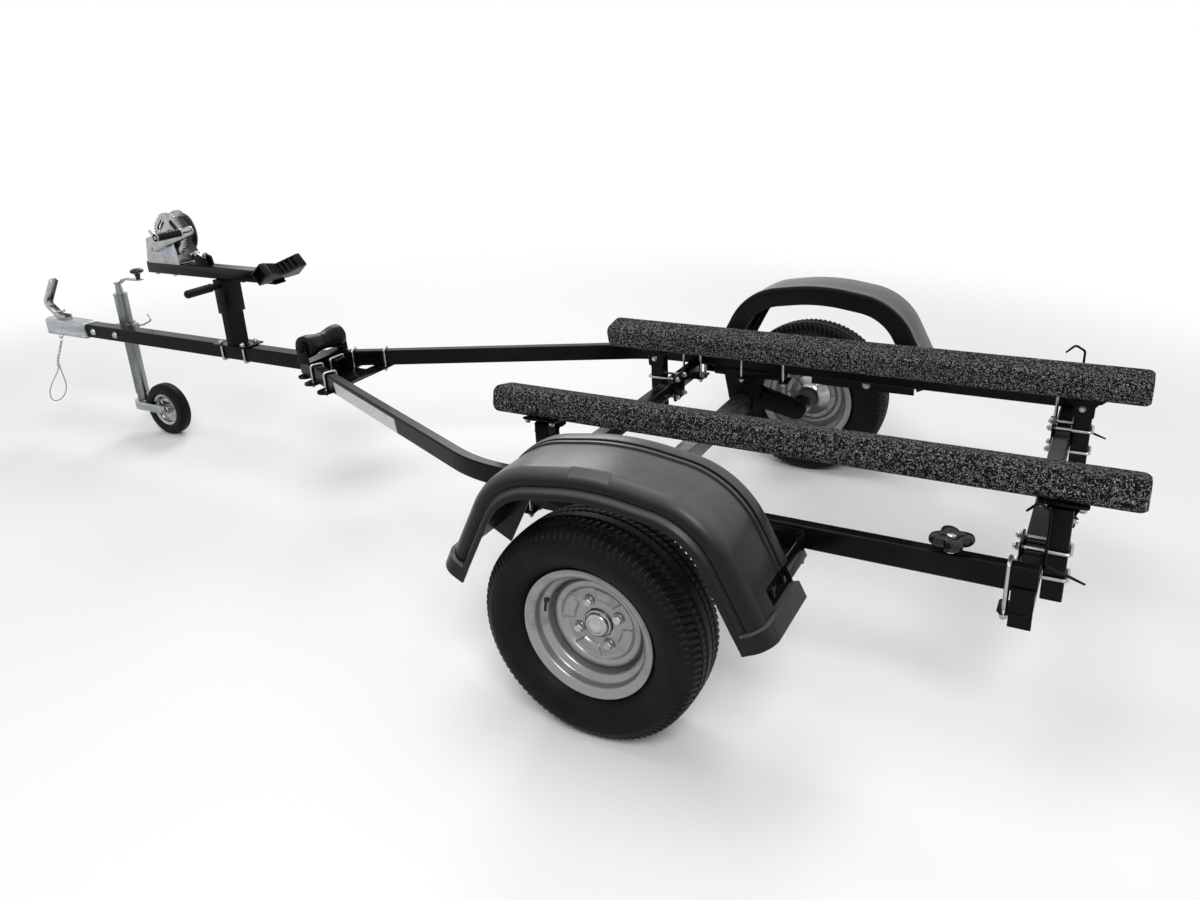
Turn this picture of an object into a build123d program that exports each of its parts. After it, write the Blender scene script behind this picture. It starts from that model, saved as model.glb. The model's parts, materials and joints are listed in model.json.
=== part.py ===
from build123d import *
import os
from math import atan2, cos, degrees, hypot, radians, sin, tan

# Small boat trailer, in millimetres. +X points forward to the coupling, +Y to the left and +Z up.
# The origin is on the ground under the middle of the trailer's length.

# Reaches from the wheel axis
coupling_reach = 2835
bunk_rear_reach = 930
bunk_front_reach = 490
hub_x = (bunk_rear_reach - coupling_reach) / 2

running_gap = 0.3  # between curved faces that turn or slide on each other
plate_thick = 5
rod_d = 8  # U-bolt rod
nut_size = 15
nut_high = 8
tube_wall = 2.5
tube_corner = 5
hole_slack = 1.5  # round a U-bolt's leg

# Wheels
track = 1424
tyre_r = 240
tyre_w = 163
tread_w = 128
tyre_wall = 10
bead_r = 127
flange_r = 144
rim_half_w = 56
rim_sheet = 4
rim_well_r = 112
disc_offset = 3  # outer face of the wheel disc, outboard of the tyre's middle plane
bolt_circle_r = 50
wheel_bolt_count = 4
wheel_bolt_phase = 65.3
wheel_bolt_d = 12
wheel_bolt_head = 19
wheel_bolt_head_high = 11
hub_flange_r = 65
hub_flange_thick = 8
hub_barrel_r = 31
hub_cap_r = 31
hub_cap_reach = 20  # outboard of the disc
stub_r = 12.5
wheel_y = track / 2

# Side rails and drawbar
rail_w = 30
rail_h = 50
rail_bottom = 381
rail_outer_y = 509
rail_rear_reach = 774
leg_angle = 24.5
leg_front_reach = 1446
rail_bend_r = 400
drawbar_size = 50
drawbar_tail = 131  # behind the legs' front ends
rail_mid_z = rail_bottom + rail_h / 2
rail_top = rail_bottom + rail_h
rail_mid_y = rail_outer_y - rail_w / 2
rail_inner_y = rail_outer_y - rail_w

# Cross-beams under the rails
beam_size = 40
front_beam_reach = 310  # middle of the beam ahead of the wheel axis
rear_beam_reach = 753  # behind it
beam_half_len = 505
beam_mid_z = rail_bottom - beam_size / 2
end_plate_drop = 70  # below the rails, at the rear corners
hook_rod_r = 3
hook_y = 375
hook_tops = ((1, 497), (-1, 580))  # side, height of the bend
knob_reach = 624  # behind the wheel axis

# Axle, brackets and trailing arms
axle_size = 50
axle_wall = 4
axle_reach = 145
axle_z = 275
axle_half_w = 546
arm_thick = 26
arm_gap = 4
arm_r = 34
pad_len = 230
pad_h = 24

# Fenders
fender_inner_y = 622
fender_outer_y = 812
fender_half_len = 350
fender_knee = 228
fender_reach = -40  # middle of the fender behind the wheel axis
fender_end_z = 345
fender_knee_z = 583
fender_crown_z = 618
fender_wall = 4
fender_skirt = 48
fender_shoulder_r = 30
fender_lip = 9
fender_rim_step = 6
fender_rim_w = 16
fender_knee_r = 190
fender_crown_r = 550
fender_band = 36  # raised band along each end
fender_band_proud = 8
pocket_len = 42  # stepped-in seat of each stay
pocket_w = 112
pocket_deep = 14

# Bunks
bunk_y = 300
bunk_mid_z = 518
bunk_w = 87
bunk_thick = 67
bunk_roll = 12
bunk_corner = 16
post_size = 40
post_y = 324
post_bottom_below = 58  # below the underside of its cross-beam
bunk_bracket_len = 90
bunk_bracket_w = 58
bunk_bracket_drop = 55

# Coupling
head_len = 257  # from the nose back to the drawbar
coupling_w = 62
coupling_wall = 4
ball_r = 25
socket_clearance = 0.3
socket_high = 22
coupling_h = 58
coupling_bolt_r = 5
coupling_bolt_head = 19
eye_setback = 95  # ring under the near side of the head, for the safety cable
eye_r = 7
eye_wire_r = 2.2
eye_drop = 5
cable_d = 4
ferrule_w = 9
ferrule_len = 16

# Jockey wheel
jockey_setback = 384
jockey_tube_r = 24
jockey_tube_wall = 2.5
jockey_tube_bottom = 150
jockey_tube_top = 536
jockey_y = -60
jockey_trail = 139
jockey_wheel_r = 100
jockey_wheel_w = 48
jockey_rim_r = 62
fork_thick = 5
fork_gap = 5

# Winch post, boom, winch and bow stop
post_reach = 1782
winch_post_x = 36
winch_post_y = 66
sleeve_wall = 4
sleeve_bottom = 545
boom_front_reach = 2138
boom_w = 50
boom_h = 40
boom_bottom = 660
handle_r = 11
grip_r = 14
handle_half_len = 165
handle_drop = 18  # handle axis below the boom
bow_stop_reach = 1525
bow_stop_z = 706
bow_stop_half_len = 85
bow_stop_h = 46
bow_stop_d = 56
bow_stop_tilt = 40
bow_notch_deep = 26
bow_stop_wall = 5

gear_module = 3
gear_teeth = 48
pinion_teeth = 12
gear_w = 8
gear_window_r = 46
gear_window_len = 48
winch_reach = 1988
winch_axis_above = 97  # drum axis above the boom
winch_base = (-34, 127)  # rear and front ends of its base from the drum axis
winch_side_gap = 62  # between the side plates
winch_plate = 4
pinion_angle = -29
drum_r = 24
drum_flange_r = 76
crank_len = 223
crank_angle = 161.7
crank_grip_len = 95

# Keel roller
roller_setback = 54  # behind the legs' front ends
roller_z = 481
roller_end_r = 36
roller_mid_r = 27
roller_half_len = 80
roller_bolt_r = 8

hub_z = tyre_r
drawbar_front_reach = coupling_reach - head_len
drawbar_rear_reach = leg_front_reach - drawbar_tail
eye_reach = coupling_reach - eye_setback
jockey_reach = coupling_reach - jockey_setback
roller_reach = leg_front_reach - roller_setback
rail_front_x = hub_x + leg_front_reach
leg_dir = (cos(radians(leg_angle)), -sin(radians(leg_angle)))
leg_end_y = drawbar_size / 2 + 0.5 + rail_w / 2 * leg_dir[0]
leg_end_x = rail_front_x + rail_w / 2 * leg_dir[1]
bend_x = leg_end_x - (rail_mid_y - leg_end_y) / tan(radians(leg_angle))
coupling_bolts_at = [(hub_x + drawbar_front_reach - back, rail_mid_z) for back in (43, 169)]
pieces = {}


def hollow_section(width, height, wall, corner):
    RectangleRounded(width, height, corner)
    RectangleRounded(width - 2 * wall, height - 2 * wall, corner - wall, mode=Mode.SUBTRACT)


def add_pair(name, left):
    pieces["left_" + name] = left
    with BuildPart() as right:
        mirror(left.part, about=Plane.XZ)
    pieces["right_" + name] = right


# A hexagon head or nut with its flats `size` apart, standing up from the frame's origin.
def hex_head(frame, size, height):
    with BuildSketch(frame) as head:
        RegularPolygon(size / 2, 6, major_radius=False)
    extrude(head.sketch, amount=height)


# A U-bolt whose hoop lies across `width`, with legs `leg` long below the bend and a nut on each.
# Its frame's origin is at the top middle of what it goes over, legs along -Z, opening along X.
def u_bolt(frame, width, leg, plate_z):
    half = width / 2 + rod_d / 2
    with BuildLine(Plane(origin=frame.origin, x_dir=frame.x_dir, z_dir=-frame.y_dir)) as route:
        FilletPolyline(
            (-half, -leg), (-half, rod_d / 2), (half, rod_d / 2), (half, -leg), radius=rod_d / 2 + 1
        )
    with BuildSketch(Plane(origin=route.line @ 0, z_dir=route.line % 0)) as rod:
        RegularPolygon(rod_d / 2, 8)
    sweep(sections=rod.sketch, path=route.line)
    for side in (-1, 1):
        nut_place = frame.from_local_coords(Vector(side * half, 0, plate_z))
        hex_head(Plane(origin=nut_place, x_dir=frame.x_dir, z_dir=-frame.z_dir), nut_size, nut_high)


# Where the two legs of such a U-bolt cross a level plate.
def leg_points(frame, width):
    half = width / 2 + rod_d / 2
    corners = [frame.from_local_coords(Vector(side * half, 0, 0)) for side in (-1, 1)]
    return [(corner.X, corner.Y) for corner in corners]


# ---- Frame: drawbar, bent side rails and cross-beams
with BuildPart() as drawbar:
    with BuildSketch(Plane.YZ.offset(hub_x + drawbar_rear_reach)):
        with Locations((0, rail_mid_z)):
            hollow_section(drawbar_size, drawbar_size, tube_wall, tube_corner)
    extrude(amount=drawbar_front_reach - drawbar_rear_reach)
    with BuildSketch(Plane.XZ.offset(-drawbar_size / 2)):
        with Locations(*coupling_bolts_at):
            Circle(coupling_bolt_r + running_gap)
    extrude(amount=drawbar_size, mode=Mode.SUBTRACT)
pieces["drawbar"] = drawbar

with BuildPart() as left_rail:
    with BuildLine(Plane.XY.offset(rail_mid_z)) as rail_route:
        FilletPolyline(
            (hub_x - rail_rear_reach, rail_mid_y),
            (bend_x, rail_mid_y),
            (leg_end_x, leg_end_y),
            radius=rail_bend_r,
        )
    with BuildSketch(Plane.YZ.offset(hub_x - rail_rear_reach)):
        with Locations((rail_mid_y, rail_mid_z)):
            hollow_section(rail_w, rail_h, tube_wall, tube_corner)
    sweep(path=rail_route.line)
add_pair("rail", left_rail)

for name, beam_x in (
    ("front_cross_beam", hub_x + front_beam_reach),
    ("rear_cross_beam", hub_x - rear_beam_reach),
):
    with BuildPart() as beam:
        with BuildSketch(Plane.XZ.offset(-beam_half_len)):
            with Locations((beam_x, beam_mid_z)):
                hollow_section(beam_size, beam_size, tube_wall, tube_corner)
        extrude(amount=2 * beam_half_len)
    pieces[name] = beam

with BuildPart() as beam_clamps:
    for side in (-1, 1):
        for beam_x in (hub_x + front_beam_reach, hub_x - rear_beam_reach):
            for shift in ((-1, 1) if beam_x > hub_x else (1,)):
                hoop_x = beam_x + shift * (beam_size / 2 + rod_d)
                u_bolt(
                    Plane(origin=(hoop_x, side * rail_mid_y, rail_top), x_dir=(0, 1, 0), z_dir=(0, 0, 1)),
                    rail_w,
                    rail_h + beam_size + plate_thick + nut_high + 4,
                    -(rail_h + beam_size + plate_thick),
                )
            with BuildSketch(Plane.XY.offset(rail_bottom - beam_size)):
                with Locations((beam_x, side * rail_mid_y)):
                    RectangleRounded(beam_size + 5 * rod_d, rail_w + 4 * rod_d, rod_d)
                    with GridLocations(beam_size + 2 * rod_d, rail_w + rod_d, 2, 2):
                        Circle(rod_d / 2 + running_gap, mode=Mode.SUBTRACT)
                if beam_x < hub_x:
                    with Locations((beam_x, side * (rail_outer_y + plate_thick / 2))):
                        Rectangle(beam_size, plate_thick, mode=Mode.SUBTRACT)
            extrude(amount=-plate_thick)
pieces["beam_clamps"] = beam_clamps

with BuildPart() as rear_end_plates:
    for side in (-1, 1):
        with BuildSketch(Plane.XZ.offset(-side * rail_outer_y)):
            with Locations((hub_x - rear_beam_reach, rail_top - (rail_h + end_plate_drop) / 2)):
                Rectangle(beam_size, rail_h + end_plate_drop)
        extrude(amount=-side * plate_thick)
pieces["rear_end_plates"] = rear_end_plates

# ---- Junction of the legs and the drawbar
lobe_rows = (  # distance behind the legs' front ends, half span of the lobes, lobe radius
    (28, 62, 24),
    (98, 106, 24),
    (196, 150, 26),
)
leg_bolt_backs = (100, 196)
drawbar_bolt_back = 110
junction_high = rail_h + plate_thick
junction_bolts = []  # frame, width of the tube
for back in leg_bolt_backs:
    for side in (-1, 1):
        frame = Plane(
            origin=(
                leg_end_x - back,
                side * (leg_end_y + back * tan(radians(leg_angle))),
                rail_top,
            ),
            x_dir=(side * sin(radians(leg_angle)), cos(radians(leg_angle)), 0),
            z_dir=(0, 0, 1),
        )
        junction_bolts.append((frame, rail_w))
junction_bolts.append(
    (
        Plane(
            origin=(rail_front_x - drawbar_bolt_back, 0, rail_top), x_dir=(0, 1, 0), z_dir=(0, 0, 1)
        ),
        drawbar_size,
    )
)
junction_holes = [point for frame, width in junction_bolts for point in leg_points(frame, width)]

with BuildPart() as junction_plates:
    with BuildSketch(Plane.XY.offset(rail_bottom - plate_thick)):
        for back, half_span, lobe_r in lobe_rows:
            with Locations((rail_front_x - back, 0)):
                SlotCenterToCenter(2 * half_span, 2 * lobe_r, rotation=90)
        with Locations((rail_front_x - (lobe_rows[0][0] + lobe_rows[-1][0]) / 2, 0)):
            Rectangle(lobe_rows[-1][0] - lobe_rows[0][0], 2 * lobe_rows[0][1])
        with Locations(*junction_holes):
            Circle(rod_d / 2 + hole_slack, mode=Mode.SUBTRACT)
    extrude(amount=plate_thick)
pieces["junction_plates"] = junction_plates

with BuildPart() as junction_u_bolts:
    for frame, width in junction_bolts:
        u_bolt(frame, width, junction_high + nut_high + 4, -junction_high)
pieces["junction_u_bolts"] = junction_u_bolts

# ---- Keel roller and its bracket
with BuildPart() as keel_roller:
    with BuildSketch(Plane.YZ.offset(hub_x + roller_reach)) as roller_profile:
        with BuildLine():
            waist = roller_half_len * 0.55
            Polyline(
                (waist, roller_z + roller_end_r),
                (roller_half_len, roller_z + roller_end_r),
                (roller_half_len, roller_z + roller_bolt_r + running_gap),
                (-roller_half_len, roller_z + roller_bolt_r + running_gap),
                (-roller_half_len, roller_z + roller_end_r),
                (-waist, roller_z + roller_end_r),
            )
            ThreePointArc(
                (-waist, roller_z + roller_end_r),
                (0, roller_z + roller_mid_r),
                (waist, roller_z + roller_end_r),
            )
        make_face()
    revolve(axis=Axis((hub_x + roller_reach, 0, roller_z), (0, 1, 0)))
pieces["keel_roller"] = keel_roller

with BuildPart() as keel_roller_bracket:
    cheek_y = roller_half_len + 4
    cheek_half_w = 24
    with BuildSketch(Plane.XY.offset(rail_top)):
        with Locations((hub_x + roller_reach, 0)):
            Rectangle(2 * cheek_half_w, 2 * (cheek_y + plate_thick))
    extrude(amount=plate_thick)
    for side in (-1, 1):
        with BuildSketch(Plane.XZ.offset(-side * cheek_y)):
            with BuildLine():
                Polyline(
                    (hub_x + roller_reach + 20, roller_z),
                    (hub_x + roller_reach + cheek_half_w, rail_top),
                    (hub_x + roller_reach - cheek_half_w, rail_top),
                    (hub_x + roller_reach - 20, roller_z),
                )
                ThreePointArc(
                    (hub_x + roller_reach - 20, roller_z),
                    (hub_x + roller_reach, roller_z + 20),
                    (hub_x + roller_reach + 20, roller_z),
                )
            make_face()
        extrude(amount=-side * plate_thick)
    with BuildSketch(Plane.XZ.offset(-(cheek_y + plate_thick))):
        with Locations((hub_x + roller_reach, roller_z)):
            Circle(roller_bolt_r)
    extrude(amount=2 * (cheek_y + plate_thick))
    for side in (-1, 1):
        end = (hub_x + roller_reach, side * (cheek_y + plate_thick), roller_z)
        end_frame = Plane(origin=end, x_dir=(1, 0, 0), z_dir=(0, side, 0))
        with BuildSketch(end_frame):
            Circle(roller_bolt_r + 8)
        extrude(amount=2)
        hex_head(end_frame.offset(2), 2 * roller_bolt_r + 8, nut_high)
pieces["keel_roller_bracket"] = keel_roller_bracket

# ---- Axle, its brackets under the rails, trailing arms with stubs
axle_x = hub_x + axle_reach
with BuildPart() as axle:
    with BuildSketch(Plane.XZ.offset(-axle_half_w)):
        with Locations((axle_x, axle_z)):
            hollow_section(axle_size, axle_size, axle_wall, tube_corner)
    extrude(amount=2 * axle_half_w)
pieces["axle"] = axle

with BuildPart() as axle_brackets:
    for side in (-1, 1):
        with BuildSketch(Plane.XY.offset(rail_bottom)):
            with Locations((axle_x - 20, side * rail_mid_y)):
                RectangleRounded(pad_len, rail_w, 10)
        extrude(amount=-pad_h)
        for face in (-1, 1):
            saddle_y = side * rail_mid_y + face * (rail_w / 2 - plate_thick)
            with BuildSketch(Plane.XZ.offset(-saddle_y)):
                with BuildLine():
                    half = axle_size / 2
                    Polyline(
                        (axle_x - half - 34, rail_bottom - pad_h),
                        (axle_x + half + 34, rail_bottom - pad_h),
                        (axle_x + half + 12, axle_z - half - 6),
                        (axle_x + half, axle_z - half - 6),
                        (axle_x + half, axle_z + half),
                        (axle_x - half, axle_z + half),
                        (axle_x - half, axle_z - half - 6),
                        (axle_x - half - 12, axle_z - half - 6),
                        close=True,
                    )
                make_face()
            extrude(amount=-face * plate_thick)
pieces["axle_brackets"] = axle_brackets

with BuildPart() as left_trailing_arm:
    arm_y = axle_half_w + arm_gap
    with BuildSketch(Plane.XZ.offset(-arm_y)):
        with Locations((axle_x, axle_z)):
            Circle(arm_r)
        with Locations((hub_x, hub_z)):
            Circle(arm_r - 6)
        make_hull()
    extrude(amount=-arm_thick)
    with BuildSketch(Plane.XZ.offset(-(axle_half_w - 30))):
        with Locations((axle_x, axle_z)):
            inner = axle_size - 2 * axle_wall - 2 * running_gap
            RectangleRounded(inner, inner, tube_corner - axle_wall + 1)
    extrude(amount=-(30 + arm_gap))
    with BuildSketch(Plane.XZ.offset(-(arm_y + arm_thick))):
        with Locations((hub_x, hub_z)):
            Circle(stub_r)
    extrude(amount=-(wheel_y - 10 - arm_y - arm_thick))
add_pair("trailing_arm", left_trailing_arm)

# ---- Wheels: hub, pressed steel rim, tyre and bolts; profiles are (radius, distance outboard)
wheel_axis = Axis((hub_x, 0, hub_z), (0, 1, 0))
wheel_plane = Plane(origin=(hub_x, wheel_y, hub_z), x_dir=(1, 0, 0), z_dir=(0, -1, 0))
wheel_section = Plane(origin=(hub_x, wheel_y, hub_z), x_dir=(0, 0, 1), z_dir=(-1, 0, 0))
disc_back = disc_offset - rim_sheet

with BuildPart() as left_tyre:
    with BuildSketch(wheel_section):
        with BuildLine():
            bead = bead_r + running_gap
            bead_y = rim_half_w - 9
            side_r = (tyre_r + bead_r) / 2
            half_tread = tread_w / 2
            half_tyre = tyre_w / 2
            outer = [
                (tyre_r, half_tread - 34),
                (tyre_r - 5, half_tread - 5),
                (tyre_r - 14, half_tread + 7),
                (side_r + 26, half_tyre - 3),
                (side_r + 6, half_tyre),
                (side_r - 14, half_tyre - 6),
                (flange_r + 5, bead_y + 9),
                (flange_r + 2, bead_y + 1),
                (bead + 4, bead_y - 1),
                (bead, bead_y - 4),
                (bead, bead_y - 16),
            ]
            inner = [
                (bead + 25, bead_y - 8),
                (side_r + 6, half_tyre - tyre_wall),
                (tyre_r - 16, half_tread - 6),
                (tyre_r - 12, half_tread - 34),
            ]
            half_profile = outer + inner
            other_half = [(radius, -across) for radius, across in reversed(half_profile)]
            Polyline(*half_profile, *other_half, close=True)
        make_face()
    revolve(axis=wheel_axis)
add_pair("tyre", left_tyre)

with BuildPart() as left_rim:
    with BuildSketch(wheel_section):
        with BuildLine():
            seat = bead_r - rim_sheet
            Polyline(
                (flange_r, rim_half_w),
                (flange_r, rim_half_w - rim_sheet),
                (bead_r + 6, rim_half_w - 7),
                (bead_r, rim_half_w - 9),
                (bead_r, rim_half_w - 26),
                (rim_well_r, rim_half_w - 36),
                (rim_well_r, -rim_half_w + 44),
                (bead_r, -rim_half_w + 28),
                (bead_r, -rim_half_w + 9),
                (bead_r + 6, -rim_half_w + 7),
                (flange_r, -rim_half_w + rim_sheet),
                (flange_r, -rim_half_w),
                (bead_r + 4, -rim_half_w + 3),
                (seat, -rim_half_w + 9),
                (seat, -rim_half_w + 26),
                (rim_well_r - rim_sheet, -rim_half_w + 42),
                (rim_well_r - rim_sheet, rim_half_w - 34),
                (seat, rim_half_w - 24),
                (seat, rim_half_w - 9),
                (bead_r + 4, rim_half_w - 3),
                close=True,
            )
        make_face()
    revolve(axis=wheel_axis)
    with BuildSketch(wheel_section):
        with BuildLine():
            Polyline(
                (hub_cap_r + 1.5, disc_offset),
                (78, disc_offset),
                (88, disc_offset + 10),
                (98, disc_offset + 10),
                (rim_well_r - rim_sheet, disc_offset - 4),
                (rim_well_r - rim_sheet, disc_offset - 16),
                (rim_well_r - 2 * rim_sheet, disc_offset - 16),
                (rim_well_r - 2 * rim_sheet, disc_offset - 6),
                (96, disc_offset + 6),
                (90, disc_offset + 6),
                (80, disc_back),
                (hub_cap_r + 1.5, disc_back),
                close=True,
            )
        make_face()
    revolve(axis=wheel_axis)
    with BuildSketch(wheel_plane.offset(-disc_offset - 1)):
        with PolarLocations(bolt_circle_r, wheel_bolt_count, start_angle=wheel_bolt_phase):
            Circle(wheel_bolt_d / 2 + 1)
        with Locations((-rim_well_r + 21, 0)):
            SlotOverall(24, 11)
    extrude(amount=rim_sheet + 14, both=True, mode=Mode.SUBTRACT)
add_pair("rim", left_rim)

with BuildPart() as left_hub:
    with BuildSketch(wheel_section):
        with BuildLine():
            stub_end = -9
            Polyline(
                (0, disc_offset + hub_cap_reach),
                (hub_cap_r - 5, disc_offset + hub_cap_reach),
                (hub_cap_r, disc_offset + hub_cap_reach - 5),
                (hub_cap_r, disc_back),
                (hub_flange_r, disc_back),
                (hub_flange_r, disc_back - hub_flange_thick),
                (hub_barrel_r + 8, disc_back - hub_flange_thick - 8),
                (hub_barrel_r, disc_back - hub_flange_thick - 16),
                (hub_barrel_r, -95),
                (stub_r + running_gap, -95),
                (stub_r + running_gap, stub_end),
                (0, stub_end),
                close=True,
            )
        make_face()
    revolve(axis=wheel_axis)
    with BuildSketch(wheel_plane.offset(-disc_back)):
        with PolarLocations(bolt_circle_r, wheel_bolt_count, start_angle=wheel_bolt_phase):
            Circle(wheel_bolt_d / 2)
    extrude(amount=-rim_sheet)
    with BuildSketch(wheel_plane.offset(-disc_offset)):
        with PolarLocations(bolt_circle_r, wheel_bolt_count, start_angle=wheel_bolt_phase):
            RegularPolygon(wheel_bolt_head / 2, 6, major_radius=False)
    extrude(amount=-wheel_bolt_head_high)
add_pair("hub", left_hub)

# ---- Fenders: a thin section swept along the arch
with BuildPart() as left_fender:
    with BuildLine(Plane.XZ.offset(-fender_inner_y)) as arch:
        fender_x = hub_x + fender_reach
        FilletPolyline(
            (fender_x + fender_half_len, fender_end_z),
            (fender_x + fender_knee, fender_knee_z),
            (fender_x, fender_crown_z),
            (fender_x - fender_knee, fender_knee_z),
            (fender_x - fender_half_len, fender_end_z),
            radius=(fender_knee_r, fender_crown_r, fender_knee_r),
        )
    with BuildSketch(Plane(origin=arch.line @ 0, x_dir=(0, 1, 0), z_dir=arch.line % 0)):
        with BuildLine():
            width = fender_outer_y - fender_inner_y
            bend = fender_rim_step / 2
            FilletPolyline(
                (0, fender_wall),
                (0, -fender_rim_step),
                (fender_rim_w, -fender_rim_step),
                (fender_rim_w + 5, 0),
                (width - fender_lip, 0),
                (width - fender_lip, fender_skirt - 4),
                (width, fender_skirt),
                (width, fender_skirt + 8),
                radius=(bend, bend, bend, fender_shoulder_r, bend, bend),
            )
            offset(amount=fender_wall, side=Side.LEFT)
        make_face()
    sweep(path=arch.line)
    for end in (0, 1):
        up = 1 - 2 * end
        end_plane = Plane(origin=arch.line @ end, x_dir=(0, 1, 0), z_dir=arch.line % end)
        with BuildSketch(end_plane):
            with BuildLine():
                edge = width - fender_lip
                Line((0, 0), (0, -fender_band_proud))
                FilletPolyline(
                    (0, -fender_band_proud),
                    (edge + fender_band_proud, -fender_band_proud),
                    (edge + fender_band_proud, fender_skirt),
                    radius=fender_shoulder_r + fender_band_proud,
                )
                Line((edge + fender_band_proud, fender_skirt), (edge, fender_skirt))
                FilletPolyline((edge, fender_skirt), (edge, 0), (0, 0), radius=fender_shoulder_r)
            make_face()
        extrude(amount=up * fender_band)
        seat_plane = end_plane.offset(up * (fender_band - fender_wall))
        with BuildSketch(seat_plane):
            with Locations(((pocket_w + fender_wall) / 2, (pocket_deep + fender_wall + 1) / 2)):
                Rectangle(pocket_w + fender_wall, pocket_deep + fender_wall - 1)
        extrude(amount=up * (pocket_len + 2 * fender_wall))
        with BuildSketch(end_plane.offset(up * fender_band)):
            with Locations((pocket_w / 2 - 1, (pocket_deep - 12) / 2)):
                Rectangle(pocket_w + 2, pocket_deep + 12)
        extrude(amount=up * pocket_len, mode=Mode.SUBTRACT)
add_pair("fender", left_fender)

# Stays: a flat bar bolted into each pocket of the fender, and to a foot plate on the rail
stay_slope = atan2(fender_knee_z - fender_end_z, fender_half_len - fender_knee)
stay_bar = (fender_band + 2, fender_band + pocket_len - 2)  # along the slope from the fender's end
stay_bolts = (30, 86)  # from the fender's inner edge
stay_tab = 14
stay_feet = ((1, 165), (-1, -60))  # end of the fender, reach of the foot plate's inner end
foot_high = 74
with BuildPart() as left_fender_stays:
    for end, foot_reach in stay_feet:
        tip_x = fender_x + end * fender_half_len
        with BuildSketch(Plane.XZ.offset(-(rail_outer_y + plate_thick + 4))):
            with BuildLine():
                corners = []
                for along, depth in ((stay_bar[0], 0), (stay_bar[1], 0), (stay_bar[1], 1), (stay_bar[0], 1)):
                    inward = pocket_deep - depth * plate_thick
                    corners.append(
                        (
                            tip_x - end * (along * cos(stay_slope) + inward * sin(stay_slope)),
                            fender_end_z + along * sin(stay_slope) - inward * cos(stay_slope),
                        )
                    )
                Polyline(*corners, close=True)
            make_face()
        extrude(amount=-(fender_inner_y + pocket_w - 4 - rail_outer_y - plate_thick - 4))
        bolt_along = sum(stay_bar) / 2
        bolt_inward = pocket_deep - plate_thick
        for stay_bolt_y in stay_bolts:
            bolt_place = (
                tip_x - end * (bolt_along * cos(stay_slope) + bolt_inward * sin(stay_slope)),
                fender_inner_y + stay_bolt_y,
                fender_end_z + bolt_along * sin(stay_slope) - bolt_inward * cos(stay_slope),
            )
            outward = (end * sin(stay_slope), 0, cos(stay_slope))
            hex_head(Plane(origin=bolt_place, x_dir=(0, 1, 0), z_dir=outward), nut_size, 6)
        foot_end = tip_x - end * 34
        with BuildSketch(Plane.XZ.offset(-rail_outer_y)):
            with Locations(((foot_end + hub_x + foot_reach) / 2, rail_top - 6 - foot_high / 2)):
                Rectangle(abs(foot_end - hub_x - foot_reach), foot_high)
        extrude(amount=-plate_thick)
        with BuildSketch(Plane.XZ.offset(-rail_outer_y)):
            with Locations((foot_end - end * stay_tab / 2, rail_top - 34)):
                Rectangle(stay_tab, 30)
        extrude(amount=-(plate_thick + 10))
add_pair("fender_stays", left_fender_stays)

# ---- Bunks, posts and their brackets
with BuildPart() as left_bunk:
    tilt = (0, cos(radians(bunk_roll)), sin(radians(bunk_roll)))
    with BuildSketch(
        Plane(origin=(hub_x - bunk_rear_reach, bunk_y, bunk_mid_z), x_dir=tilt, z_dir=(1, 0, 0))
    ):
        RectangleRounded(bunk_w, bunk_thick, bunk_corner)
    extrude(amount=bunk_rear_reach + bunk_front_reach)
add_pair("bunk", left_bunk)

post_rows = (  # name, middle of the post along X, side of the beam it stands on
    ("front_bunk_posts", hub_x + front_beam_reach + beam_size / 2 + post_size / 2, 1),
    ("rear_bunk_posts", hub_x - rear_beam_reach - beam_size / 2 - post_size / 2, -1),
)
roll = radians(bunk_roll)
post_bottom = rail_bottom - beam_size - post_bottom_below


def bunk_underside(y):
    return bunk_mid_z - bunk_thick / 2 / cos(roll) + (y - bunk_y) * tan(roll)


post_top = bunk_underside(post_y - post_size / 2) - plate_thick / cos(roll) - 1
for name, post_mid_x, ahead in post_rows:
    with BuildPart() as posts:
        for side in (-1, 1):
            with BuildSketch(Plane.XY.offset(post_bottom)):
                with Locations((post_mid_x, side * post_y)):
                    hollow_section(post_size, post_size, tube_wall, tube_corner)
            extrude(amount=post_top - post_bottom)
    pieces[name] = posts

with BuildPart() as bunk_brackets:
    for name, post_mid_x, ahead in post_rows:
        inner = post_y - post_size / 2 - plate_thick
        with BuildSketch(Plane.YZ.offset(post_mid_x - bunk_bracket_len / 2)) as bracket_profile:
            with BuildLine():
                outer = inner + bunk_bracket_w
                Polyline(
                    (inner, bunk_underside(inner)),
                    (outer, bunk_underside(outer)),
                    (outer, bunk_underside(outer) - plate_thick / cos(roll)),
                    (inner + plate_thick, bunk_underside(inner + plate_thick) - plate_thick / cos(roll)),
                    (inner + plate_thick, post_top - bunk_bracket_drop),
                    (inner, post_top - bunk_bracket_drop),
                    close=True,
                )
            make_face()
        extrude(amount=bunk_bracket_len)
    mirror(about=Plane.XZ)
pieces["bunk_brackets"] = bunk_brackets

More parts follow.
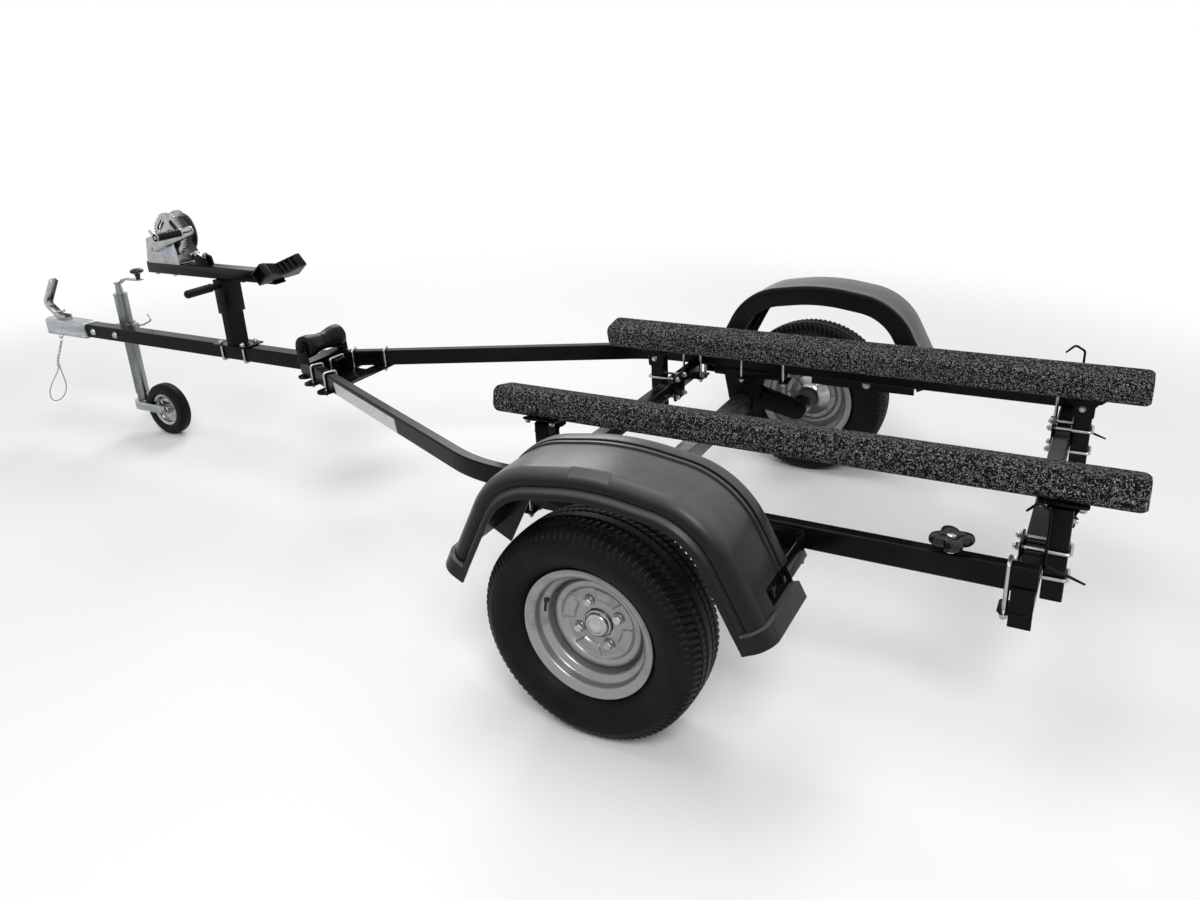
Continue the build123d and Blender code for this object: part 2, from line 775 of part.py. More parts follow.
with BuildPart() as post_clamps:
    for name, post_mid_x, ahead in post_rows:
        plate_x = post_mid_x - ahead * (post_size / 2 + beam_size)
        for side in (-1, 1):
            with BuildSketch(Plane.YZ.offset(plate_x)):
                with Locations((side * post_y, beam_mid_z)):
                    RectangleRounded(post_size + 4 * rod_d, beam_size + 5 * rod_d, rod_d)
                    with GridLocations(post_size + rod_d, beam_size + 2 * rod_d, 2, 2):
                        Circle(rod_d / 2 + running_gap, mode=Mode.SUBTRACT)
            extrude(amount=-ahead * plate_thick)
            for level in (-1, 1):
                hoop_z = beam_mid_z + level * (beam_size / 2 + rod_d)
                frame = Plane(
                    origin=(post_mid_x + ahead * post_size / 2, side * post_y, hoop_z),
                    x_dir=(0, 1, 0),
                    z_dir=(ahead, 0, 0),
                )
                reach = post_size + beam_size + plate_thick
                u_bolt(frame, post_size, reach + nut_high + 4, -reach)
pieces["post_clamps"] = post_clamps

# ---- Rail clamp knobs and tie-down hooks
knob_x = hub_x - knob_reach
with BuildPart() as rail_knobs:
    for side in (-1, 1):
        with BuildSketch(Plane.XY.offset(rail_top)):
            with Locations((knob_x, side * rail_mid_y)):
                Circle(12)
        extrude(amount=2)
        with BuildSketch(Plane.XY.offset(rail_top)):
            with Locations((knob_x, side * rail_mid_y)):
                Circle(6)
        extrude(amount=14)
        with BuildSketch(Plane.XY.offset(rail_top + 12)):
            with Locations((knob_x, side * rail_mid_y)):
                Circle(25)
                with PolarLocations(31, 4, start_angle=20):
                    Circle(13)
        extrude(amount=24)
pieces["rail_knobs"] = rail_knobs

# Bent rods behind the rear beam, with a hook above and a tail below
hook_x = hub_x - rear_beam_reach - beam_size / 2 - hook_rod_r - running_gap
with BuildPart() as tie_hooks:
    for side, hook_top in hook_tops:
        with BuildLine(Plane.XZ.offset(-side * hook_y)) as hook_route:
            FilletPolyline(
                (hook_x + 42, hook_top - 18),
                (hook_x + 22, hook_top + 3),
                (hook_x, hook_top - 10),
                (hook_x, rail_bottom - 7),
                (hook_x - 72, rail_bottom - 32),
                radius=(8, 8, 8),
            )
        with BuildSketch(Plane(origin=hook_route.line @ 0, z_dir=hook_route.line % 0)) as hook_rod:
            RegularPolygon(hook_rod_r, 8)
        sweep(sections=hook_rod.sketch, path=hook_route.line)
pieces["tie_hooks"] = tie_hooks

# ---- Coupling head on the drawbar's end
nose_x = hub_x + coupling_reach
ball_x = nose_x - ball_r - socket_clearance - 9
head_rear_x = hub_x + drawbar_front_reach
head_bottom = rail_mid_z - coupling_h / 2
eye_plane = Plane(origin=(hub_x + eye_reach, coupling_w / 2 - coupling_wall / 2, head_bottom - eye_drop))
with BuildPart() as coupling_head:
    with BuildSketch(Plane.XY.offset(head_bottom)) as head_plan:
        with Locations((ball_x, 0)):
            Circle(nose_x - ball_x)
        with Locations(((head_rear_x + ball_x - 60) / 2, 0)):
            Rectangle(ball_x - 60 - head_rear_x, coupling_w)
        make_hull()
    extrude(amount=coupling_h)
    fillet(coupling_head.faces().sort_by(Axis.Z)[-1].edges(), radius=10)
    with BuildSketch(Plane.XY.offset(head_bottom)):
        with Locations(((head_rear_x + ball_x - 38) / 2, 0)):
            Rectangle(ball_x - 50 - head_rear_x, coupling_w - 2 * coupling_wall)
    extrude(amount=coupling_h - coupling_wall, mode=Mode.SUBTRACT)
    with Locations((ball_x, 0, head_bottom + socket_high)):
        Sphere(ball_r + socket_clearance, mode=Mode.SUBTRACT)
    with BuildSketch(Plane.XY.offset(head_bottom)):
        with Locations((ball_x, 0)):
            Circle(ball_r + socket_clearance)
    extrude(amount=socket_high, mode=Mode.SUBTRACT)
    with BuildSketch(Plane.YZ.offset(head_rear_x)):
        with Locations((0, rail_mid_z)):
            tail = drawbar_size - 2 * tube_wall - 2 * running_gap
            hollow_section(tail, tail, 3, 4)
    extrude(amount=-190)
    with BuildSketch(Plane.XZ.offset(-drawbar_size / 2)):
        with Locations(*coupling_bolts_at):
            Circle(coupling_bolt_r + running_gap)
    extrude(amount=drawbar_size, mode=Mode.SUBTRACT)
    for side in (-1, 1):
        with BuildSketch(Plane.XZ.offset(-side * coupling_w / 2)):
            for rib_z in (head_bottom + 6, head_bottom + coupling_h - 20):
                with Locations(((head_rear_x + ball_x - 70) / 2, rib_z)):
                    SlotOverall(ball_x - 90 - head_rear_x, 8)
        extrude(amount=-side * 3, taper=20)
    with Locations(eye_plane):
        Torus(eye_r, eye_wire_r, rotation=(0, 90, 0))
pieces["coupling_head"] = coupling_head

with BuildPart() as coupling_bolts:
    for bolt_x, bolt_z in coupling_bolts_at:
        with BuildSketch(Plane.XZ.offset(-drawbar_size / 2)):
            with Locations((bolt_x, bolt_z)):
                Circle(coupling_bolt_r)
        extrude(amount=drawbar_size)
        head_frame = Plane(origin=(bolt_x, drawbar_size / 2, bolt_z), x_dir=(1, 0, 0), z_dir=(0, 1, 0))
        with BuildSketch(head_frame):
            Circle(coupling_bolt_head / 2 + 3)
        extrude(amount=2)
        hex_head(head_frame.offset(2), coupling_bolt_head, 8)
pieces["coupling_bolts"] = coupling_bolts

# The latch lever is a pressed channel, open to the rear.
latch_w = 30
latch_wall = 3
latch_deep = 16
with BuildPart() as coupling_handle:
    head_top = head_bottom + coupling_h
    for across, deep in ((latch_w, latch_wall), (latch_wall, latch_deep)):
        for shift in ((0,) if deep == latch_wall else (-1, 1)):
            with BuildSketch(Plane.XZ.offset(-shift * (latch_w - latch_wall) / 2 - across / 2)):
                with BuildLine():
                    FilletPolyline(
                        (nose_x - 125, head_top),
                        (nose_x - 74, head_top),
                        (nose_x - 2, head_top + 52),
                        (nose_x - 84, head_top + 156),
                        radius=(24, 24),
                    )
                    offset(amount=deep, side=Side.LEFT)
                make_face()
            extrude(amount=across)
pieces["coupling_handle"] = coupling_handle

# ---- Jockey wheel: clamp, outer tube with crank, sliding stem, swivelling fork and wheel
jockey_x = hub_x + jockey_reach
collar_r = jockey_tube_r + 8
clamp_high = 44
with BuildPart() as jockey_clamp:
    with BuildSketch(Plane.XY.offset(rail_mid_z - clamp_high / 2)):
        with Locations((jockey_x, jockey_y)):
            Circle(collar_r)
        with Locations((jockey_x, (-drawbar_size / 2 + jockey_y + collar_r / 2) / 2)):
            Rectangle(54, -drawbar_size / 2 - jockey_y - collar_r / 2)
        with Locations((jockey_x - collar_r - 8, jockey_y)):
            Rectangle(28, 26)
        with Locations((jockey_x, jockey_y)):
            Circle(jockey_tube_r + 0.1, mode=Mode.SUBTRACT)
    extrude(amount=clamp_high)
    with BuildSketch(Plane.XZ.offset(drawbar_size / 2)):
        with Locations((jockey_x, rail_mid_z)):
            Rectangle(110, clamp_high)
    extrude(amount=plate_thick)
pieces["jockey_clamp"] = jockey_clamp

with BuildPart() as jockey_clamp_handle:
    screw_x = jockey_x - collar_r - 22 - 2 * running_gap
    with BuildLine(Plane.XZ.offset(-jockey_y)) as handle_route:
        FilletPolyline(
            (screw_x, rail_mid_z + 15),
            (screw_x - 42, rail_mid_z + 22),
            (screw_x - 94, rail_mid_z + 44),
            (screw_x - 78, rail_mid_z + 66),
            radius=8,
        )
    with BuildSketch(Plane(origin=handle_route.line @ 0, z_dir=handle_route.line % 0)):
        Circle(rod_d / 2 - 1)
    sweep(path=handle_route.line)
pieces["jockey_clamp_handle"] = jockey_clamp_handle

with BuildPart() as jockey_tube:
    with BuildSketch(Plane.XY.offset(jockey_tube_bottom)):
        with Locations((jockey_x, jockey_y)):
            Circle(jockey_tube_r)
            Circle(jockey_tube_r - jockey_tube_wall, mode=Mode.SUBTRACT)
    extrude(amount=jockey_tube_top - jockey_tube_bottom)
    with BuildSketch(Plane.XY.offset(jockey_tube_top)):
        with Locations((jockey_x, jockey_y)):
            Circle(jockey_tube_r + 1.5)
    extrude(amount=4)
pieces["jockey_tube"] = jockey_tube

crank_z = jockey_tube_top + 42
crank_rise = 22
crank_arm_w = 22
knob_mid = jockey_x - 126
with BuildPart() as jockey_crank:
    with BuildSketch(Plane.XY.offset(jockey_tube_top + 4)):
        with Locations((jockey_x, jockey_y)):
            Circle(14)
    extrude(amount=crank_z - jockey_tube_top - 4, taper=6)
    with BuildSketch(Plane.XZ.offset(-jockey_y - crank_arm_w / 2)):
        with BuildLine():
            FilletPolyline(
                (jockey_x + 11, crank_z),
                (jockey_x - 14, crank_z),
                (jockey_x - 44, crank_z + crank_rise - 3),
                (knob_mid - 14, crank_z + crank_rise),
                radius=(8, 8),
            )
            offset(amount=4, side=Side.RIGHT)
        make_face()
    extrude(amount=crank_arm_w)
    with BuildSketch(Plane.XZ.offset(-jockey_y)):
        with BuildLine():
            knob_low = crank_z + crank_rise + 3
            Polyline(
                (knob_mid, knob_low),
                (knob_mid + 7, knob_low),
                (knob_mid + 10, knob_low + 20),
                (knob_mid + 22, knob_low + 26),
                (knob_mid + 24, knob_low + 31),
                (knob_mid + 19, knob_low + 37),
                (knob_mid + 9, knob_low + 41),
                (knob_mid, knob_low + 42),
                close=True,
            )
        make_face()
    revolve(axis=Axis((knob_mid, jockey_y, 0), (0, 0, 1)))
pieces["jockey_crank"] = jockey_crank

stem_r = jockey_tube_r - jockey_tube_wall - running_gap
pin_r = 10
fork_mid_z = jockey_wheel_r + 4
fork_high = 32
boss_top = fork_mid_z + fork_high / 2
with BuildPart() as jockey_stem:
    with BuildSketch(Plane.XY.offset(boss_top + 1)):
        with Locations((jockey_x, jockey_y)):
            Circle(stem_r)
    extrude(amount=jockey_tube_top - 40 - boss_top)
    with BuildSketch(Plane.XY.offset(fork_mid_z - fork_high / 2 + 2)):
        with Locations((jockey_x, jockey_y)):
            Circle(pin_r)
    extrude(amount=fork_high)
pieces["jockey_stem"] = jockey_stem

fork_half = jockey_wheel_w / 2 + fork_gap
jockey_hub_x = jockey_x - jockey_trail
with BuildPart() as jockey_fork:
    with BuildSketch(Plane.XY.offset(fork_mid_z - fork_high / 2)):
        with BuildLine():
            outer = fork_half + fork_thick
            Polyline(
                (jockey_x, jockey_y + outer),
                (jockey_hub_x - 16, jockey_y + outer),
                (jockey_hub_x - 16, jockey_y + fork_half),
                (jockey_x, jockey_y + fork_half),
            )
            ThreePointArc(
                (jockey_x, jockey_y + fork_half),
                (jockey_x + fork_half, jockey_y),
                (jockey_x, jockey_y - fork_half),
            )
            Polyline(
                (jockey_x, jockey_y - fork_half),
                (jockey_hub_x - 16, jockey_y - fork_half),
                (jockey_hub_x - 16, jockey_y - outer),
                (jockey_x, jockey_y - outer),
            )
            ThreePointArc(
                (jockey_x, jockey_y - outer),
                (jockey_x + outer, jockey_y),
                (jockey_x, jockey_y + outer),
            )
        make_face()
        with Locations((jockey_x, jockey_y)):
            Circle(fork_half)
            Circle(pin_r + running_gap, mode=Mode.SUBTRACT)
    extrude(amount=fork_high)
    with BuildSketch(Plane.XZ.offset(-(jockey_y + outer + 6))):
        with Locations((jockey_hub_x, jockey_wheel_r)):
            Circle(6)
    extrude(amount=2 * (outer + 6))
    for side in (-1, 1):
        with BuildSketch(Plane.XZ.offset(-(jockey_y + side * outer))):
            with Locations((jockey_hub_x, jockey_wheel_r)):
                RegularPolygon(10, 6)
        extrude(amount=-side * 6)
pieces["jockey_fork"] = jockey_fork

jockey_axis = Axis((jockey_hub_x, 0, jockey_wheel_r), (0, 1, 0))
jockey_section = Plane(
    origin=(jockey_hub_x, jockey_y, jockey_wheel_r), x_dir=(0, 0, 1), z_dir=(-1, 0, 0)
)
with BuildPart() as jockey_rim:
    with BuildSketch(jockey_section):
        with BuildLine():
            Polyline(
                (6 + running_gap, 22),
                (16, 22),
                (18, 8),
                (jockey_rim_r - 12, 6),
                (jockey_rim_r - 8, 18),
                (jockey_rim_r - running_gap, 19),
                (jockey_rim_r - running_gap, -19),
                (jockey_rim_r - 8, -18),
                (jockey_rim_r - 12, -6),
                (18, -8),
                (16, -22),
                (6 + running_gap, -22),
                close=True,
            )
        make_face()
    revolve(axis=jockey_axis)
pieces["jockey_rim"] = jockey_rim

with BuildPart() as jockey_tyre:
    with BuildSketch(jockey_section):
        with BuildLine():
            half = jockey_wheel_w / 2
            Polyline(
                (jockey_rim_r, 20),
                (jockey_rim_r + 8, half),
                (jockey_wheel_r - 14, half),
                (jockey_wheel_r - 5, half - 5),
                (jockey_wheel_r, half - 13),
                (jockey_wheel_r, 13 - half),
                (jockey_wheel_r - 5, 5 - half),
                (jockey_wheel_r - 14, -half),
                (jockey_rim_r + 8, -half),
                (jockey_rim_r, -20),
                close=True,
            )
        make_face()
    revolve(axis=jockey_axis)
pieces["jockey_tyre"] = jockey_tyre

# ---- Winch post, sleeve, boom, push handle and bow stop
post_mid_x = hub_x + post_reach
post_bolts = [
    Plane(origin=(post_mid_x + shift, 0, rail_bottom), x_dir=(0, 1, 0), z_dir=(0, 0, -1))
    for shift in (-52, 52)
]
with BuildPart() as winch_post:
    with BuildSketch(Plane.XY.offset(rail_top + plate_thick)):
        with Locations((post_mid_x, 0)):
            hollow_section(winch_post_x, winch_post_y, tube_wall, tube_corner)
    extrude(amount=boom_bottom - 40 - rail_top - plate_thick)
    with BuildSketch(Plane.XY.offset(rail_top)):
        with Locations((post_mid_x, 0)):
            Rectangle(150, winch_post_y + 20)
        for frame in post_bolts:
            with Locations(*leg_points(frame, drawbar_size)):
                Circle(rod_d / 2 + hole_slack, mode=Mode.SUBTRACT)
    extrude(amount=plate_thick)
pieces["winch_post"] = winch_post

with BuildPart() as winch_post_sleeve:
    with BuildSketch(Plane.XY.offset(sleeve_bottom)):
        with Locations((post_mid_x, 0)):
            Rectangle(winch_post_x + 2 * sleeve_wall + 1, winch_post_y + 2 * sleeve_wall + 1)
            Rectangle(winch_post_x + 1, winch_post_y + 1, mode=Mode.SUBTRACT)
    extrude(amount=boom_bottom - sleeve_bottom)
    handle_z = boom_bottom - handle_drop
    with BuildSketch(Plane.XZ.offset(-handle_half_len)):
        with Locations((post_mid_x, handle_z)):
            Circle(handle_r)
    extrude(amount=2 * handle_half_len)
pieces["winch_post_sleeve"] = winch_post_sleeve

with BuildPart() as push_grips:
    for side in (-1, 1):
        with BuildSketch(Plane.XZ.offset(-side * (handle_half_len - 100))):
            with Locations((post_mid_x, handle_z)):
                Circle(grip_r)
                Circle(handle_r, mode=Mode.SUBTRACT)
        extrude(amount=-side * 100)
        with BuildSketch(Plane.XZ.offset(-side * handle_half_len)):
            with Locations((post_mid_x, handle_z)):
                Circle(grip_r)
        extrude(amount=-side * 4)
pieces["push_grips"] = push_grips

winch_x = hub_x + winch_reach
boom_top = boom_bottom + boom_h
winch_z = boom_top + winch_axis_above

# The bow stop faces up and rearward; its frame has Y across, depth towards the bow.
bow_lean = radians(bow_stop_tilt)
bow_plane = Plane(
    origin=(hub_x + bow_stop_reach, 0, bow_stop_z),
    x_dir=(0, 1, 0),
    z_dir=(sin(bow_lean), 0, cos(bow_lean)),
)
anchor_x = winch_x - 112
anchor_z = boom_top + 22
anchor_half_w = 19
anchor_pin_r = 5
with BuildPart() as winch_boom:
    with BuildSketch(Plane.YZ.offset(hub_x + bow_stop_reach)):
        with Locations((0, boom_bottom + boom_h / 2)):
            hollow_section(boom_w, boom_h, tube_wall, tube_corner)
    extrude(amount=boom_front_reach - bow_stop_reach)
    back_face = Plane(
        origin=bow_plane.from_local_coords(Vector(0, -bow_stop_d / 2 - plate_thick, 0)),
        x_dir=(0, 1, 0),
        z_dir=-bow_plane.y_dir,
    )
    split(bisect_by=back_face, keep=Keep.TOP)
    with BuildSketch(back_face):
        Rectangle(2 * bow_stop_half_len - 40, bow_stop_h - 6)
    extrude(amount=-plate_thick)
    for side in (-1, 1):
        with BuildSketch(Plane.XZ.offset(-side * anchor_half_w)):
            with BuildLine():
                Polyline(
                    (anchor_x - 28, boom_top),
                    (anchor_x - 22, boom_top + 26),
                    (anchor_x + 4, anchor_z + 14),
                    (anchor_x + 16, anchor_z + 8),
                    (anchor_x + 24, boom_top),
                    close=True,
                )
            make_face()
        extrude(amount=side * 7)
    with BuildSketch(Plane.XZ.offset(-anchor_half_w)):
        with Locations((anchor_x, anchor_z)):
            Circle(anchor_pin_r)
    extrude(amount=2 * anchor_half_w)
pieces["winch_boom"] = winch_boom

with BuildPart() as post_u_bolts:
    for frame in post_bolts:
        u_bolt(
            frame, drawbar_size, rail_h + plate_thick + nut_high + 4, -(rail_h + plate_thick)
        )
pieces["post_u_bolts"] = post_u_bolts

with BuildPart() as bow_stop:
    half = bow_stop_d / 2
    notch_half = bow_stop_half_len - 16
    with BuildSketch(bow_plane.offset(-bow_stop_h / 2)):
        with BuildLine():
            Polyline(
                (-bow_stop_half_len, -half),
                (bow_stop_half_len, -half),
                (bow_stop_half_len, half),
                (notch_half, half),
                (0, half - bow_notch_deep),
                (-notch_half, half),
                (-bow_stop_half_len, half),
                close=True,
            )
        make_face()
    extrude(amount=bow_stop_h)
    for side in (-1, 1):
        end_face = Plane(
            origin=bow_plane.from_local_coords(Vector(side * bow_stop_half_len, 0, 0)),
            x_dir=bow_plane.y_dir,
            z_dir=(0, side, 0),
        )
        with BuildSketch(end_face):
            Rectangle(bow_stop_d - 2 * bow_stop_wall, bow_stop_h - 2 * bow_stop_wall)
        extrude(amount=-24, mode=Mode.SUBTRACT)
    # Moulded cells across the face, each to a floor that follows the notch
    for cell_y in (-50, -33, -16, 0, 16, 33, 50):
        floor = half - bow_notch_deep * (1 - abs(cell_y) / notch_half) - 7
        with BuildSketch(bow_plane.offset(-bow_stop_h / 2 + bow_stop_wall)):
            with Locations((cell_y, (floor + half + 1) / 2)):
                Rectangle(11, half + 1 - floor)
        extrude(amount=bow_stop_h - 2 * bow_stop_wall, mode=Mode.SUBTRACT)
pieces["bow_stop"] = bow_stop

# ---- Winch: frame, drum with its toothed gear, wound strap, crank with pinion
mesh_distance = gear_module * (gear_teeth + pinion_teeth) / 2
pinion_x = winch_x + mesh_distance * cos(radians(pinion_angle))
pinion_z = winch_z + mesh_distance * sin(radians(pinion_angle))
gear_mid_y = winch_side_gap / 2 - 4 - gear_w / 2
root_share, tooth_share, tip_share = 0.58, 0.4, 0.16  # tooth width as a share of the pitch


# Straight-flanked teeth; the first stands at `phase` degrees.
def gear_outline(teeth, phase):
    pitch_r = gear_module * teeth / 2
    pitch_angle = 360 / teeth
    points = []
    for n in range(teeth):
        middle = phase + n * pitch_angle
        for radius, share in (
            (pitch_r - 1.25 * gear_module, -root_share),
            (pitch_r, -tooth_share),
            (pitch_r + gear_module, -tip_share),
            (pitch_r + gear_module, tip_share),
            (pitch_r, tooth_share),
            (pitch_r - 1.25 * gear_module, root_share),
        ):
            angle = radians(middle + share * pitch_angle / 2)
            points.append((radius * cos(angle), radius * sin(angle)))
    Polyline(*points, close=True)


shaft_r = 8
flange_y = -winch_side_gap / 2 + 8  # inner face of the drum's far flange
base_len = winch_base[1] - winch_base[0]
base_mid_x = winch_x + (winch_base[0] + winch_base[1]) / 2
pawl_x = pinion_x + 26
pawl_z = pinion_z + 22
pawl_pin_r = 4
with BuildPart() as winch_frame:
    with BuildSketch(Plane.XY.offset(boom_top)):
        with Locations((base_mid_x, 0)):
            Rectangle(base_len, winch_side_gap + 2 * winch_plate)
    extrude(amount=winch_plate)
    for side in (-1, 1):
        with BuildSketch(Plane.XZ.offset(-side * winch_side_gap / 2)):
            with Locations((winch_x, winch_z)):
                Circle(18)
            with Locations((pinion_x, pinion_z)):
                Circle(20)
            with Locations((pawl_x, pawl_z)):
                Circle(10)
            with Locations((base_mid_x, boom_top + 8)):
                Rectangle(base_len, 16)
            make_hull()
            with Locations((winch_x, winch_z), (pinion_x, pinion_z)):
                Circle(shaft_r + running_gap, mode=Mode.SUBTRACT)
            with Locations((pawl_x, pawl_z)):
                Circle(pawl_pin_r + running_gap, mode=Mode.SUBTRACT)
        extrude(amount=-side * winch_plate)
    with BuildSketch(Plane.XZ.offset(-(winch_side_gap / 2 + winch_plate + 1))):
        with Locations((pawl_x, pawl_z)):
            Circle(pawl_pin_r)
    extrude(amount=winch_side_gap + 2 * winch_plate + 2)
    with BuildSketch(Plane.XZ.offset(3)):
        with Locations((pawl_x, pawl_z)):
            Circle(9)
        with Locations((pawl_x + 26, pawl_z + 24)):
            Circle(6)
        make_hull()
    extrude(amount=-6)
pieces["winch_frame"] = winch_frame

with BuildPart() as winch_drum:
    gear_face = (winch_x, gear_mid_y + gear_w / 2, winch_z)
    with BuildSketch(Plane(origin=gear_face, x_dir=(1, 0, 0), z_dir=(0, -1, 0))):
        with BuildLine():
            gear_outline(gear_teeth, pinion_angle)
        make_face()
        with PolarLocations(gear_window_r, 4, start_angle=45):
            SlotOverall(gear_window_len, 18, rotation=90, mode=Mode.SUBTRACT)
    extrude(amount=gear_w)
    with BuildSketch(Plane.XZ.offset(-(gear_mid_y - gear_w / 2))):
        with Locations((winch_x, winch_z)):
            Circle(drum_r)
    extrude(amount=gear_mid_y - gear_w / 2 - flange_y)
    with BuildSketch(Plane.XZ.offset(-flange_y)):
        with Locations((winch_x, winch_z)):
            Circle(drum_flange_r)
    extrude(amount=3)
    with BuildSketch(Plane.XZ.offset(-(winch_side_gap / 2 + winch_plate + 2))):
        with Locations((winch_x, winch_z)):
            Circle(shaft_r)
    extrude(amount=winch_side_gap + 2 * winch_plate + 4)
pieces["winch_drum"] = winch_drum

with BuildPart() as winch_strap:
    with BuildSketch(Plane.XZ.offset(-(gear_mid_y - gear_w / 2 - 1))):
        with Locations((winch_x, winch_z)):
            Circle(drum_flange_r - 22)
            Circle(drum_r + 0.1, mode=Mode.SUBTRACT)
    extrude(amount=gear_mid_y - gear_w / 2 - 2 - flange_y)
pieces["winch_strap"] = winch_strap

# The strap's loose end goes down from the drum to a hook, which hangs on the boom's anchor pin.
strap_half_w = 15
strap_run_x = winch_x - (drum_flange_r - 22) - running_gap
hook_eye = (winch_x - 78, boom_top + 36)
with BuildPart() as strap_tail:
    with BuildSketch(Plane.XZ.offset(-strap_half_w)):
        with BuildLine():
            FilletPolyline(
                (strap_run_x, winch_z + 4),
                (strap_run_x, winch_z - 26),
                (hook_eye[0] + 2, hook_eye[1] + 5),
                radius=20,
            )
            offset(amount=2.5, side=Side.RIGHT)
        make_face()
    extrude(amount=2 * strap_half_w)
pieces["strap_tail"] = strap_tail

hook_r = 4
hook_bend = anchor_pin_r + running_gap + hook_r
with BuildPart() as strap_hook:
    with BuildLine(Plane.XZ) as strap_hook_route:
        FilletPolyline(
            (anchor_x - hook_bend, anchor_z + 14),
            (anchor_x - hook_bend, anchor_z - hook_bend),
            (anchor_x + hook_bend, anchor_z - hook_bend),
            (anchor_x + hook_bend, anchor_z + 2),
            hook_eye,
            radius=(hook_bend - 0.1, hook_bend - 0.1, 6),
        )
    with BuildSketch(Plane(origin=strap_hook_route.line @ 0, z_dir=strap_hook_route.line % 0)):
        Circle(hook_r)
    sweep(path=strap_hook_route.line)
    with BuildSketch(Plane.XZ.offset(-strap_half_w - 2)):
        with Locations(hook_eye):
            Circle(hook_r)
    extrude(amount=2 * strap_half_w + 4)
pieces["strap_hook"] = strap_hook

arm_y = winch_side_gap / 2 + winch_plate + 8
with BuildPart() as winch_crank:
    pinion_face = (pinion_x, gear_mid_y + gear_w / 2 + 1, pinion_z)
    with BuildSketch(Plane(origin=pinion_face, x_dir=(1, 0, 0), z_dir=(0, -1, 0))):
        with BuildLine():
            gear_outline(pinion_teeth, pinion_angle + 180 + 180 / pinion_teeth)
        make_face()
    extrude(amount=gear_w + 2)
    with BuildSketch(Plane.XZ.offset(winch_side_gap / 2 + winch_plate + 6)):
        with Locations((pinion_x, pinion_z)):
            Circle(shaft_r)
    extrude(amount=-(winch_side_gap + 2 * winch_plate + 6 + 16))
    grip_x = pinion_x + crank_len * cos(radians(crank_angle))
    grip_z = pinion_z + crank_len * sin(radians(crank_angle))
    with BuildSketch(Plane.XZ.offset(-arm_y)):
        with Locations(((pinion_x + grip_x) / 2, (pinion_z + grip_z) / 2)):
            SlotCenterToCenter(crank_len, 28, rotation=crank_angle)
    extrude(amount=-plate_thick)
    with BuildSketch(Plane.XZ.offset(-(arm_y + plate_thick))):
        with Locations((grip_x, grip_z)):
            Circle(6)
    extrude(amount=-(36 + crank_grip_len))
pieces["winch_crank"] = winch_crank

with BuildPart() as winch_grip:
    with BuildSketch(Plane.XZ.offset(-(arm_y + plate_thick + 36))):
        with Locations((grip_x, grip_z)):
            Circle(13)
            Circle(6.1, mode=Mode.SUBTRACT)
    extrude(amount=-crank_grip_len)
pieces["winch_grip"] = winch_grip

# ---- Safety cable from the head's ring: a short fall, a ferrule and a hanging loop
cable_turns = (  # distance ahead of the ring, distance to the left, height
    (0, coupling_w / 2 - coupling_wall / 2, head_bottom - eye_drop - eye_r - eye_wire_r - 0.4),
    (7, 41, 325),
    (18, 58, 277),
    (25, 56, 242),
    (26, 90, 206),
    (25, 118, 166),
    (26, 112, 124),
    (24, 70, 124),
    (25, 42, 164),
    (22, 48, 212),
    (18.8, 55, 250),
)
cable_points = [Vector(hub_x + eye_reach + ahead, left, height) for ahead, left, height in cable_turns]
cable_radii = []
for before, turn, after in zip(cable_points, cable_points[1:], cable_points[2:]):
    half_turn = (turn - before).get_angle(after - turn) / 2
    shorter = min((turn - before).length, (after - turn).length)
    cable_radii.append(0.45 * shorter / tan(radians(half_turn)))
print("cable arc radii", [round(radius) for radius in cable_radii])

with BuildPart() as safety_cable:
    with BuildLine() as cable_route:
        FilletPolyline(*cable_points, radius=cable_radii)
    with BuildSketch(Plane(origin=cable_route.line @ 0, z_dir=cable_route.line % 0)):
        Circle(cable_d / 2)
    sweep(path=cable_route.line)
pieces["safety_cable"] = safety_cable
print("cable length", round(sum(edge.length for edge in cable_route.edges())))

with BuildPart() as cable_ferrule:
    ferrule_mid = (hub_x + eye_reach + 21, 56.3)
    with BuildSketch(Plane.XY.offset(246)):
        with Locations(ferrule_mid):
            SlotCenterToCenter(5, ferrule_w)
    extrude(amount=ferrule_len)
    add(safety_cable.part, mode=Mode.SUBTRACT)
pieces["cable_ferrule"] = cable_ferrule


os.makedirs("parts", exist_ok=True)
for name, piece in pieces.items():
    piece.part.label = name
    export_step(piece.part, f"parts/{name}.step")
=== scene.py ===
import json
import math
import random

import bpy
import bmesh
from mathutils import Matrix, Vector

